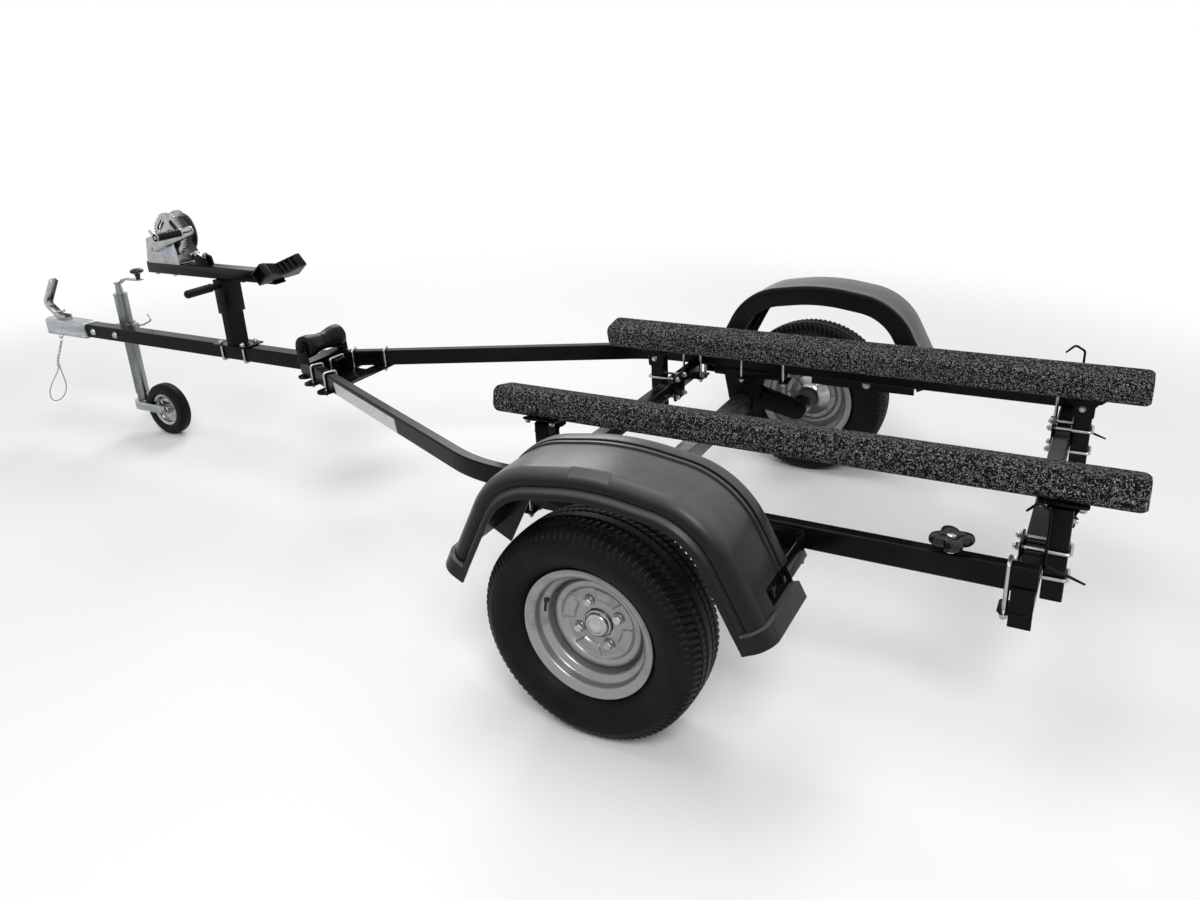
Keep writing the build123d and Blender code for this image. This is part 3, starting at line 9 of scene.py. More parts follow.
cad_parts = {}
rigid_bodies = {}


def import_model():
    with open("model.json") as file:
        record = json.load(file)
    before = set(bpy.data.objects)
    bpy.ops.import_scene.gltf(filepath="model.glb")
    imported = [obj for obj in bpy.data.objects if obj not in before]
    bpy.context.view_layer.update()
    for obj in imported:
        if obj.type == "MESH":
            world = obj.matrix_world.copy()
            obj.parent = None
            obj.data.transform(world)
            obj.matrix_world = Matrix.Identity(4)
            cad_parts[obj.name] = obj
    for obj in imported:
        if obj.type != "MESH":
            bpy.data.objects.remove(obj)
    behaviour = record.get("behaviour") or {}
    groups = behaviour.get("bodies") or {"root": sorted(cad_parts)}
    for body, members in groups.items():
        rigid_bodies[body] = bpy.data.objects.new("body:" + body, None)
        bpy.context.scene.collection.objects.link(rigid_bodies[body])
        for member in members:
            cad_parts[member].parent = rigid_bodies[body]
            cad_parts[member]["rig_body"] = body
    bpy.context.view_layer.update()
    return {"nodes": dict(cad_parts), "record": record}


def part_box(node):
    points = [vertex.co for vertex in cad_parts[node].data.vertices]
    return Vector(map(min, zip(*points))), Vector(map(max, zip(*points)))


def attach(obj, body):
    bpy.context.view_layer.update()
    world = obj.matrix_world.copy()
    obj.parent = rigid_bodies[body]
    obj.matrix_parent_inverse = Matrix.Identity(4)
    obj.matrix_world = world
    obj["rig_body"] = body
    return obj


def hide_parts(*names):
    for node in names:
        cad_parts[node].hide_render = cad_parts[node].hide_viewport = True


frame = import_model()
scene = bpy.context.scene
tau = 2 * math.pi
hubX = -0.9525
wheelMiddle = (hubX, 0.712, 0.24)
bracketXs = ((-0.6025, 1), (-1.7455, -1))  # each pair of bunk brackets and the way its bolts face
railY, railTop, railLow = 0.494, 0.431, 0.381
lean = math.radians(24.5)  # the front legs against the drawbar
rowFront = hubX + 1.446
legX, legY = rowFront - 0.015 * math.sin(lean), 0.0255 + 0.015 * math.cos(lean)
tilt = math.radians(12)  # the bunks and the flanges under them
along, up, down = (0, 1, 0), (0, 0, 1), (0, 0, -1)


# Camera
def makeCamera():
    view = {
        "place": (-1.7922, 2.1452, 1.3336),
        "right": (-0.876, -0.4798, -0.0489),
        "up": (0.1311, -0.3344, 0.9333),
        "lens": 28.84,
        "shift": (0.0024, -0.0351),
    }
    data = bpy.data.cameras.new("camera")
    data.sensor_width = 36
    data.lens = view["lens"]
    data.shift_x, data.shift_y = view["shift"]
    data.clip_end = 60
    camera = bpy.data.objects.new("camera", data)
    right = Vector(view["right"]).normalized()
    back = right.cross(Vector(view["up"])).normalized()
    turn = Matrix((right, back.cross(right), back)).transposed()
    camera.matrix_world = Matrix.Translation(view["place"]) @ turn.to_4x4()
    scene.collection.objects.link(camera)
    scene.camera = camera


# Shader sockets with arithmetic
class Sock:
    def __init__(self, tree, socket):
        self.tree, self.socket = tree, socket

    def work(self, operation, first, second):
        return self.tree.add("ShaderNodeMath", {"operation": operation}, {0: first, 1: second})

    def __add__(self, other):
        return self.work("ADD", self, other)

    def __radd__(self, other):
        return self.work("ADD", other, self)

    def __sub__(self, other):
        return self.work("SUBTRACT", self, other)

    def __rsub__(self, other):
        return self.work("SUBTRACT", other, self)

    def __mul__(self, other):
        return self.work("MULTIPLY", self, other)

    def __rmul__(self, other):
        return self.work("MULTIPLY", other, self)

    def __pow__(self, other):
        return self.work("POWER", self, other)

    def wave(self):
        return self.work("SINE", self, 0)

    def most(self, other):
        return self.work("MAXIMUM", self, other)

    def spread(self, low, high, newLow=0.0, newHigh=1.0):
        inputs = {0: self, 1: low, 2: high, 3: newLow, 4: newHigh}
        return self.tree.add("ShaderNodeMapRange", {"interpolation_type": "SMOOTHSTEP"}, inputs)


# The nodes of a material or of the world
class Tree:
    def __init__(self, owner):
        owner.use_nodes = True
        self.owner = owner
        self.nodes, self.links = owner.node_tree.nodes, owner.node_tree.links
        self.nodes.clear()

    def add(self, kind, settings, inputs, out=0):
        node = self.nodes.new(kind)
        for key, value in settings.items():
            setattr(node, key, value)
        for key, value in inputs.items():
            if isinstance(value, Sock):
                self.links.new(value.socket, node.inputs[key])
            else:
                node.inputs[key].default_value = value
        return Sock(self, node.outputs[out]) if len(node.outputs) else None

    def noise(self, scale, detail=3.0, rough=0.5, stretch=None):
        place = self.place
        if stretch:
            place = self.add("ShaderNodeMapping", {}, {"Vector": place, "Scale": stretch})
        inputs = {"Vector": place, "Scale": scale, "Detail": detail, "Roughness": rough}
        return self.add("ShaderNodeTexNoise", {}, inputs)

    def cells(self, scale, out="Distance"):
        return self.add("ShaderNodeTexVoronoi", {}, {"Vector": self.place, "Scale": scale}, out)

    def axis(self, name, source=None):
        return self.add("ShaderNodeSeparateXYZ", {}, {0: source or self.place}, name)

    def mix(self, factor, first, second):
        first, second = ((*c, 1) if isinstance(c, tuple) else c for c in (first, second))
        return self.add("ShaderNodeMix", {"data_type": "RGBA"}, {0: factor, 6: first, 7: second}, 2)

    def bump(self, height, strength, distance):
        inputs = {"Height": height, "Strength": strength, "Distance": distance}
        return self.add("ShaderNodeBump", {}, inputs)

    # 1 for a ray that looks at the backdrop, 0 for one that lights the trailer
    def seen(self):
        kinds = ("Is Camera Ray", "Is Glossy Ray", "Is Transmission Ray")
        straight, glossy, through = (self.add("ShaderNodeLightPath", {}, {}, kind) for kind in kinds)
        return straight.most(glossy).most(through)

    def surface(self, **values):
        inputs = {key.replace("_", " ").title().replace("Ior", "IOR"): value for key, value in values.items()}
        self.add("ShaderNodeOutputMaterial", {}, {0: self.add("ShaderNodeBsdfPrincipled", {}, inputs)})
        return self.owner


def lookTree(name):
    t = Tree(bpy.data.materials.new(name))
    t.place = t.add("ShaderNodeTexCoord", {}, {}, "Object")
    return t


# A finish with one stain, which moves its colour and may add to its roughness, over a fine grain
def stained(name, stain, edges, colours, rough, grain=None, bump=None, **fixed):
    t = lookTree(name)
    mask = t.noise(*stain).spread(*edges)
    more, least = rough
    if grain:
        fixed["normal"] = t.bump(t.noise(*grain), *bump)
    roughness = mask * more + least if more else least
    return t.surface(base_color=t.mix(mask, *colours), roughness=roughness, **fixed)


def galvanised(name, stretch, light, dark):
    t = lookTree(name)
    tone = t.add("ShaderNodeSeparateColor", {}, {0: t.cells(170, "Color")}, "Red")
    streak = t.noise(34, 5, 0.6, stretch).spread(0.36, 0.66)
    return t.surface(
        base_color=t.mix(tone * 0.14 + streak * 0.86, light, dark),
        metallic=1.0,
        roughness=tone * 0.05 + streak * 0.06 + 0.26,
        normal=t.bump(t.noise(260, 3), 0.07, 0.0005),
    )


def silverPaint():
    t = lookTree("silver_paint")
    flake = t.noise(2600, 2).spread(0.4, 0.6)
    dust = t.noise(22, 5, 0.6).spread(0.5, 0.75)
    return t.surface(
        base_color=t.mix(dust, (0.27, 0.277, 0.275), (0.18, 0.184, 0.182)),
        metallic=0.6,
        roughness=flake * 0.06 + dust * 0.12 + 0.23,
        normal=t.bump(flake, 0.05, 0.0003),
    )


def fenderPlastic():
    t = lookTree("fender_plastic")
    cloud = t.noise(7, 5, 0.6).spread(0.38, 0.72)
    facingUp = t.axis("Z", t.add("ShaderNodeTexCoord", {}, {}, "Normal"))
    paintedTopLight = facingUp.spread(0.25, 0.95) * (cloud * 0.3 + 0.7)  # painted light: upward faces lighter, the sides darker
    return t.surface(
        # Painted light and shade: near black on the sides, mid grey on the upward faces
        base_color=t.mix(paintedTopLight, (0.006, 0.006, 0.0064), (0.092, 0.093, 0.095)),
        roughness=cloud * 0.06 + 0.25,
        normal=t.bump(t.cells(620), 0.08, 0.0005),
        specular_ior_level=0.17,
    )


def carpet():
    t = lookTree("bunk_carpet")
    curls = t.noise(150, 3, 0.72).spread(0.505, 0.6)
    tips = t.noise(330, 2, 0.6).spread(0.575, 0.66)
    base = t.mix(curls, (0.0035, 0.0035, 0.004), (0.115, 0.115, 0.12))
    return t.surface(
        base_color=t.mix(tips, base, (0.46, 0.46, 0.47)),
        roughness=0.95,
        normal=t.bump(t.noise(900, 3, 0.7) + curls * 0.8, 0.8, 0.002),
        specular_ior_level=0.08,
    )


def webbing():
    t = lookTree("webbing")
    ribs = (t.axis("Y") * 2600).wave()
    weave = t.noise(900, 2)
    return t.surface(
        base_color=t.mix(weave.spread(0.35, 0.65), (0.016, 0.016, 0.02), (0.05, 0.05, 0.058)),
        roughness=0.8,
        normal=t.bump(ribs * 0.4 + weave, 0.5, 0.0008),
    )


def wireRope():
    t = lookTree("wire_rope")
    lay = ((t.axis("Z") * 1.0 + t.axis("Y") * 0.7) * 2100).wave()
    return t.surface(
        # Painted shade: darker in the grooves between the strands, lighter on their crowns, following the
        # bump
        base_color=t.mix(lay.spread(-1, 0.2), (0.09, 0.09, 0.09), (0.34, 0.35, 0.36)),
        metallic=0.9,
        roughness=0.4,
        normal=t.bump(lay, 0.4, 0.0006),
    )


looks = {
    "black_frame": stained(
        "paint_black", (9, 5, 0.6), (0.42, 0.7), ((0.002, 0.002, 0.0023), (0.005, 0.005, 0.0054)),
        (0.1, 0.2), (900, 2), (0.06, 0.0006), specular_ior_level=0.09,
    ),
    "bright_zinc": stained(
        "bright_zinc", (34, 4, 0.55), (0.35, 0.7), ((0.44, 0.45, 0.46), (0.33, 0.33, 0.325)),
        (0.06, 0.2), (420, 2), (0.03, 0.0004), metallic=1.0,
    ),
    "galvanised": galvanised("galvanised", (1, 1, 0.12), (0.3, 0.32, 0.32), (0.125, 0.137, 0.135)),
    "silver_paint": silverPaint(),
    "tyre_rubber": stained(
        "tyre_rubber", (14, 6, 0.65), (0.4, 0.75), ((0.0035, 0.0035, 0.0038), (0.0085, 0.0085, 0.0088)),
        (0.12, 0.46), (1100, 4, 0.7), (0.22, 0.0006), specular_ior_level=0.1,
    ),
    "black_rubber": stained(
        "black_rubber", (60, 5, 0.6), (0.45, 0.75), ((0.003, 0.003, 0.003), (0.0085, 0.0085, 0.0085)),
        (0.14, 0.28), (900, 4), (0.14, 0.0005), specular_ior_level=0.13,
    ),
    "black_plastic": stained(
        "black_plastic", (45, 4), (0.45, 0.75), ((0.005, 0.005, 0.0055), (0.012, 0.012, 0.012)),
        (0.1, 0.16), (500, 2), (0.05, 0.0005), specular_ior_level=0.3,
    ),
    "fender_plastic": fenderPlastic(),
    "bunk_carpet": carpet(),
    "dark_webbing": webbing(),
}
latchOrange = stained(
    "latch_orange", (120, 4), (0.5, 0.7), ((0.27, 0.075, 0.03), (0.2, 0.11, 0.07)), (0.2, 0.42),
)
blankSticker = stained(
    "blank_sticker", (160, 4), (0.35, 0.7), ((0.62, 0.63, 0.64), (0.5, 0.51, 0.52)), (0.1, 0.34),
    metallic=0.35,
)
paleLabel = stained(
    "pale_label", (90, 3), (0.35, 0.7), ((0.42, 0.47, 0.62), (0.36, 0.41, 0.55)), (0.1, 0.32),
)
slotShadow = stained(
    "slot_shadow", (80,), (0.3, 0.7), ((0.004, 0.004, 0.004), (0.012, 0.012, 0.012)), (0, 0.9),
)
pressedZinc = galvanised("pressed_zinc", (0.14, 1, 1), (0.47, 0.5, 0.51), (0.28, 0.3, 0.31))
otherLooks = {
    "coupling_head": pressedZinc, "jockey_fork": pressedZinc, "coupling_handle": looks["bright_zinc"],
}


def dressNodes():
    slots = {part["node"]: part["material_slot"] for part in frame["record"]["subparts"]}
    for node, obj in frame["nodes"].items():
        obj.data.materials.clear()
        obj.data.materials.append(looks[slots[node]])


# Smooth shading that stops at every edge sharper than the given angle
def shade(work, mesh, sharpest):
    for edge in work.edges:
        edge.smooth = not edge.is_manifold or edge.calc_face_angle(0) < sharpest
    for face in work.faces:
        face.smooth = True
        face.material_index = 0
    work.to_mesh(mesh)
    work.free()


def addObject(name, data):
    obj = bpy.data.objects.new(name, data)
    scene.collection.objects.link(obj)
    return obj


def bodyOf(node):
    return frame["nodes"][node]["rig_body"]


# A new piece; one that stands for a node moves with that node's body
def addPiece(name, shape, slot, replaces=None, body="frame", look=None):
    mesh = bpy.data.meshes.new(name)
    mesh.from_pydata([tuple(p) for p in shape[0]], [], shape[1])
    mesh.validate()
    obj = addObject(name, mesh)
    work = bmesh.new()
    work.from_mesh(mesh)
    bmesh.ops.recalc_face_normals(work, faces=work.faces)
    shade(work, mesh, 0.65)
    mesh.materials.append(look or looks[slot])
    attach(obj, bodyOf(replaces) if replaces else body)
    if replaces:
        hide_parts(replaces)
    return obj


# The same piece on the left and, mirrored, on the right
def addBoth(name, shape, slot, replaces=None, body=None, look=None):
    for side, sign in (("left", 1), ("right", -1)):
        placed = [(x, sign * y, z) for x, y, z in shape[0]]
        replaced, carrier = (part and side + "_" + part for part in (replaces, body))
        addPiece(side + "_" + name, (placed, shape[1]), slot, replaced, carrier, look)


# Outlines are written in millimetres
def mm(pairs):
    return [(a / 1000, b / 1000) for a, b in pairs]


# A grid of points, rows by columns, as quads
def gridFaces(rows, columns, wrapRows=False, wrapColumns=False):
    faces = []
    for i in range(rows if wrapRows else rows - 1):
        for j in range(columns if wrapColumns else columns - 1):
            a, b = i, (i + 1) % rows
            c, d = j, (j + 1) % columns
            faces.append((a * columns + c, a * columns + d, b * columns + d, b * columns + c))
    return faces


# Rings of points as a closed tube with both ends capped
def tubeFaces(rows, columns):
    last = rows * columns
    ends = [tuple(range(columns)), tuple(range(last - 1, last - columns - 1, -1))]
    return gridFaces(rows, columns, False, True) + ends


# A closed profile of (radius, along) turned about an axis through the centre
def lathe(profile, centre, segments, shape=None, axis="Y"):
    points = []
    for i in range(segments):
        angle = tau * i / segments
        for r, way in profile:
            if shape:
                r, way = shape(r, way, angle)
            u, v = r * math.cos(angle), r * math.sin(angle)
            place = (u, way, v) if axis == "Y" else (u, v, way)
            points.append(tuple(c + p for c, p in zip(centre, place)))
    return points, gridFaces(segments, len(profile), True, True)


# The other half of a profile; at its middle the halves share a point
def twoSided(half, shared=1):
    return half + [(r, -y) for r, y in reversed(half[:len(half) - shared])]


def smoothProfile(corners, steps):
    points = []
    last = len(corners) - 1
    for i in range(last):
        a, b, c, d = (Vector(corners[min(max(k, 0), last)]) for k in (i - 1, i, i + 1, i + 2))
        for j in range(steps):
            t = j / steps
            bend = (2 * a - 5 * b + 4 * c - d) * t * t + (3 * b - a - 3 * c + d) * t ** 3
            points.append(0.5 * ((2 * b) + (c - a) * t + bend))
    points.append(Vector(corners[-1]))
    return [tuple(p) for p in points]


# 1 between low and high, 0 outside, with soft shoulders
def bell(value, low, high, soft):
    rise = min(max((value - low) / soft + 0.5, 0), 1)
    fall = min(max((high - value) / soft + 0.5, 0), 1)
    return rise * rise * (3 - 2 * rise) * fall * fall * (3 - 2 * fall)


def joined(parts):
    points, faces = [], []
    for partPoints, partFaces in parts:
        base = len(points)
        points += [tuple(p) for p in partPoints]
        faces += [tuple(base + k for k in face) for face in partFaces]
    return points, faces


def quarter(x, y, r, start, steps=6):
    turns = [math.radians(start + 90 * k / steps) for k in range(steps + 1)]
    return [(x + r * math.cos(turn), y + r * math.sin(turn)) for turn in turns]


# Straight runs with their corners rounded
def bentPath(corners, radii, arcSteps=7, runSteps=1):
    path = [Vector(corners[0])]
    for before, corner, after, radius in zip(corners, corners[1:], corners[2:], radii):
        corner = Vector(corner)
        back = (Vector(before) - corner).normalized()
        on = (Vector(after) - corner).normalized()
        half = back.angle(on) / 2
        start, stop = (way * (radius / math.tan(half)) + corner for way in (back, on))
        centre = corner + (back + on).normalized() * (radius / math.sin(half))
        hinge = (start - centre).cross(stop - centre).normalized()
        last = path[-1]
        path += [last.lerp(start, i / runSteps) for i in range(1, runSteps)]
        for i in range(arcSteps + 1):
            spin = Matrix.Rotation((math.pi - 2 * half) * i / arcSteps, 3, hinge)
            path.append(centre + spin @ (start - centre))
    last, end = path[-1], Vector(corners[-1])
    return path + [last.lerp(end, i / runSteps) for i in range(1, runSteps + 1)]


def circle(middle, across, other, r, sides):
    turns = [tau * k / sides for k in range(sides)]
    return [middle + (across * math.cos(a) + other * math.sin(a)) * r for a in turns]


# A capped tube along a line, with its own radius at each point
def sweep(line, radii, sides, across):
    points = []
    for i, (p, r) in enumerate(zip(line, radii)):
        run = (line[min(i + 1, len(line) - 1)] - line[max(i - 1, 0)]).normalized()
        across = (across - run * across.dot(run)).normalized()
        points += circle(p, across, run.cross(across), r, sides)
    return points, tubeFaces(len(line), sides)


# Each point's distance from the start of a line
def runLengths(line):
    lengths = [0.0]
    for a, b in zip(line, line[1:]):
        lengths.append(lengths[-1] + (b - a).length)
    return lengths


# A round rod along a path; `thread` is the length of cut thread at each end
def rod(path, radius, sides=14, thread=0.0):
    cut = {"pitch": 0.0006, "deep": 0.0004, "plain": 0.003, "step": 0.02, "chamfer": (0.0005, 0.0007)}
    line = []
    for a, b in zip(path, path[1:]):
        steps = max(1, int((b - a).length / (cut["pitch"] if thread else cut["step"])))
        line += [a.lerp(b, i / steps) for i in range(steps)]
    line.append(path[-1])
    lengths = runLengths(line)
    if thread:
        keep = []
        for i, far in enumerate(lengths):
            end = min(far, lengths[-1] - far)
            if end <= thread or not keep or far - lengths[keep[-1]] > cut["plain"] or i == len(line) - 1:
                keep.append(i)
        line, lengths = [line[i] for i in keep], [lengths[i] for i in keep]
    radii = []
    for i, far in enumerate(lengths):
        end = min(far, lengths[-1] - far)
        r = radius - (cut["deep"] if end < thread and i % 2 else 0)
        radii.append(r - (cut["chamfer"][1] if end < cut["chamfer"][0] else 0))
    return sweep(line, radii, sides, (line[1] - line[0]).orthogonal().normalized())


# A chamfered hexagon standing on a washer, from `foot` towards `way`
def hexNut(foot, way, flats, high, washer=0.0, dome=0.0):
    way, foot = Vector(way).normalized(), Vector(foot)
    across = way.orthogonal().normalized()
    other = way.cross(across)
    base = 0.0
    parts = []

    def rings(outline, sides):
        points = [p for r, h in outline for p in circle(foot + way * (base + h), across, other, r, sides)]
        parts.append((points, tubeFaces(len(outline), sides)))

    if washer:
        rings([(washer - 0.0003, 0), (washer, 0.0003), (washer, 0.0013), (washer - 0.0003, 0.0016)], 24)
        base = 0.0016
    corner = flats / math.sqrt(3)
    rings([(corner * 0.93, 0), (corner, 0.0009), (corner, high - 0.0012), (flats / 2 * 1.01, high)], 6)
    if dome:
        rings([(flats * 0.42, high), (flats * 0.4, high + dome * 0.7), (flats * 0.3, high + dome)], 20)
        parts[-1][1].pop(-2)  # the dome is open where it stands on the nut
    return joined(parts)


# A plate with rounded corners, from its middle, two half sides and the way its thickness goes
def roundedPlate(middle, longHalf, wideHalf, thick, corner, edge=0.0008):
    across, other = Vector(longHalf), Vector(wideHalf)
    a, b = across.length, other.length
    across, other = across.normalized(), other.normalized()
    rise = across.cross(other)
    outline = []
    for sa, sb, start in ((1, 1, 0), (-1, 1, 90), (-1, -1, 180), (1, -1, 270)):
        outline += quarter(sa * (a - corner), sb * (b - corner), corner, start)
    points = []
    for high, inset in ((0, edge), (edge, 0), (thick - edge, 0), (thick, edge)):
        for u, v in outline:
            share = 1 - inset / math.hypot(u, v)
            points.append(Vector(middle) + across * (u * share) + other * (v * share) + rise * high)
    return points, tubeFaces(4, len(outline))


# Safety cable: one smooth line from the ring, through the ferrule and round the loop
def makeCable():
    wire = {
        "d": 0.004,
        "long": 0.431,
        "turns": (
            (2.74, 0.029, 0.3624), (2.747, 0.041, 0.325), (2.758, 0.058, 0.277), (2.765, 0.056, 0.242),
            (2.766, 0.09, 0.206), (2.765, 0.118, 0.166), (2.766, 0.112, 0.124), (2.764, 0.07, 0.124),
            (2.765, 0.042, 0.164), (2.762, 0.048, 0.212), (2.7588, 0.055, 0.25),
        ),
        "sleeve": {"points": 48, "thin": 0.003, "bead": 0.0019, "pitch": 6.7, "end": 0.0021},
    }
    curve = bpy.data.curves.new("safety_wire", "CURVE")
    curve.dimensions = "3D"
    spline = curve.splines.new("NURBS")
    spline.points.add(len(wire["turns"]) - 1)
    for point, (x, y, z) in zip(spline.points, wire["turns"]):
        point.co = (x + hubX, y, z, 1)
    spline.order_u = 3
    spline.use_endpoint_u = True
    cable = addObject("safety_wire", curve)
    spline.resolution_u = 22  # fine steps for the sleeve, then fewer for the wire
    bare = bpy.data.meshes.new_from_object(cable)
    sleeve = wire["sleeve"]
    route = [v.co.copy() for v in bare.vertices][1:sleeve["points"]]
    bpy.data.meshes.remove(bare)
    spline.resolution_u = 10
    curve.bevel_depth = wire["d"] / 2
    curve.bevel_resolution = 3
    curve.use_fill_caps = True
    curve.materials.append(wireRope())
    beads = [abs(math.sin(math.pi * i / sleeve["pitch"])) for i in range(len(route))]
    radii = [sleeve["thin"] + sleeve["bead"] * bead for bead in beads]
    radii[0] = radii[-1] = sleeve["end"]
    ribs = sweep(route, radii, 16, Vector((0.9, 0.1, 0.2)))
    cover = addPiece("cable_sleeve", ribs, "bright_zinc")
    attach(cable, "frame")
    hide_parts("safety_cable")


# Road tyres
def makeTyres():
    tyre = {
        "r": 0.24, "crown": 0.0066, "rings": (0.1545, 0.2085), "sipes": 96, "slant": 26,
        "grooves": (0.013, 0.034), "grooveW": 0.0024, "deep": 0.005,
    }
    half = smoothProfile(mm([
        (129, 44), (132, 47), (138, 48.5), (146.2, 50), (150, 54.5), (157, 64.5), (168, 73.8), (180, 78.8),
        (192.5, 81.2), (205.5, 80.3), (217, 76), (226.2, 69.7), (232.5, 63.6),
    ]), 3)
    for ring in tyre["rings"]:
        half = [(r, y + 0.0012 * bell(r, ring - 0.0016, ring + 0.0016, 0.002)) for r, y in half]
    for i in range(1, 33):
        y = 0.0628 * (1 - i / 32)
        half.append((tyre["r"] - tyre["crown"] * (y / 0.064) ** 2.4, y))

    def tread(r, y, angle):
        across = abs(y)
        side = 1 if y > 0 else -1
        turn = angle * tyre["sipes"] / tau
        if r > 0.23:
            wavy = across + 0.0008 * math.sin(tau * turn * side)
            wide = tyre["grooveW"]
            cut = max(bell(wavy, groove - wide, groove + wide, 0.0022) for groove in tyre["grooves"])
            block = bell((turn + across * tyre["slant"] * side) % 1, 0.3, 0.7, 0.12)
            if across > 0.038:
                cut = max(cut, block * 0.75)
            elif across < 0.03:
                cut = max(cut, block * 0.45 * bell(across, 0.017, 0.03, 0.003))
            return r - tyre["deep"] * cut, y
        if r > 0.213:  # the sipes run out on the shoulder
            phase = (turn + 0.0628 * tyre["slant"] * side) % 1
            cut = bell(phase, 0.3, 0.7, 0.12) * bell(r, 0.2175, 0.24, 0.005)
            return r - 0.0012 * cut, y - math.copysign(0.0022 * cut, y)
        return r, y

    shape = lathe(twoSided(half), wheelMiddle, tyre["sipes"] * 5, tread)
    addBoth("tyre_tread", shape, "tyre_rubber", "tyre")


# Pressed rims with a recessed disc, stepped barrel and a slot for the valve
def makeRims():
    rim = {
        "phase": 65.3, "segments": 288, "sector": 0.0058, "seat": 0.0016,
        "slot": {"from": 4.5, "to": 23.5, "r": 0.1135, "out": 0.0262, "run": (0.848, 0.53), "steps": 26},
    }
    disc = mm([
        (32.5, 4), (34, 4.4), (42, 4.4), (52, 4), (64, 3.8), (76, 3.6), (80, 5.6), (84, 10.2), (88, 11.8),
        (93, 12), (97, 11.2), (100, 8), (103, 3.6), (106, -0.6),
    ])
    barrel = mm([
        (107.2, 4), (107.8, 15), (108.5, 22), (113, 25.8), (117.8, 28.5), (121.5, 31), (123.2, 35),
        (123.4, 44), (125.2, 48.8), (130, 51.8), (138, 53.4), (142, 55.6), (144.2, 56), (145, 54),
        (144.4, 51.8), (140, 50), (134, 49.2), (128, 46.6), (127.2, 42), (127.2, 34), (124, 28.5),
        (115, 21.5), (112, 18), (112, -12), (115, -18), (127.2, -29), (127.2, -46), (134, -49.2),
        (143, -51.5), (144.2, -55.5), (140, -54.5), (129, -51.2), (123.4, -46), (123.4, -30), (110, -19),
        (108, -13), (107.2, -5),
    ])
    back = mm([
        (103, -0.4), (100, 4), (97, 7.8), (90, 8.6), (84, 6.4), (79, -0.2), (76, -0.6), (52, -0.2),
        (32.5, 0),
    ])

    def pressing(r, y, angle):
        if r < 0.0845 and y > -0.002:
            turn = math.degrees(angle) - rim["phase"]
            off = abs((turn + 45) % 90 - 45)
            sector = bell(off, 25 - (r - 0.06) * 180, 60, 2.6) * bell(r, 0.0545, 0.0805, 0.0026)
            seat = bell(math.hypot(r - 0.05, math.radians(off) * 0.05), -1, 0.0128, 0.003)
            y += rim["sector"] * sector - rim["seat"] * seat
        return r, y

    profile = smoothProfile(disc, 4) + smoothProfile(barrel, 2) + smoothProfile(back, 2)
    shape = lathe(profile, wheelMiddle, rim["segments"], pressing)
    addBoth("rim_pressing", shape, "silver_paint", "rim")

    # A keyhole: narrow at one end, round at the other
    slot = rim["slot"]
    points, steps = [], slot["steps"]
    for lift in (0.0005, -0.001):
        for way in (-1, 1):
            for i in range(steps + 1):
                share = i / steps if way < 0 else 1 - i / steps
                wide = 0.003 * math.sqrt(max(0.0, 1 - max(0.0, 1 - share / 0.1) ** 2))
                if share > 0.64:
                    wide += 0.0029 * math.sqrt(max(0.0, 1 - ((share - 0.82) / 0.18) ** 2))
                wide *= math.sqrt(max(0.0, 1 - max(0.0, (share - 0.9) / 0.1) ** 2))
                turn = math.radians(slot["from"] + (slot["to"] - slot["from"]) * share)
                u, v = slot["run"]
                r = slot["r"] + way * wide * u - lift * v
                y = slot["out"] + way * wide * v + lift * u
                x0, y0, z0 = wheelMiddle
                points.append((x0 + r * math.cos(turn), y0 + y, z0 + r * math.sin(turn)))
    shape = points, tubeFaces(2, len(points) // 2)
    addBoth("valve_slot", shape, "silver_paint", body="wheel", look=slotShadow)


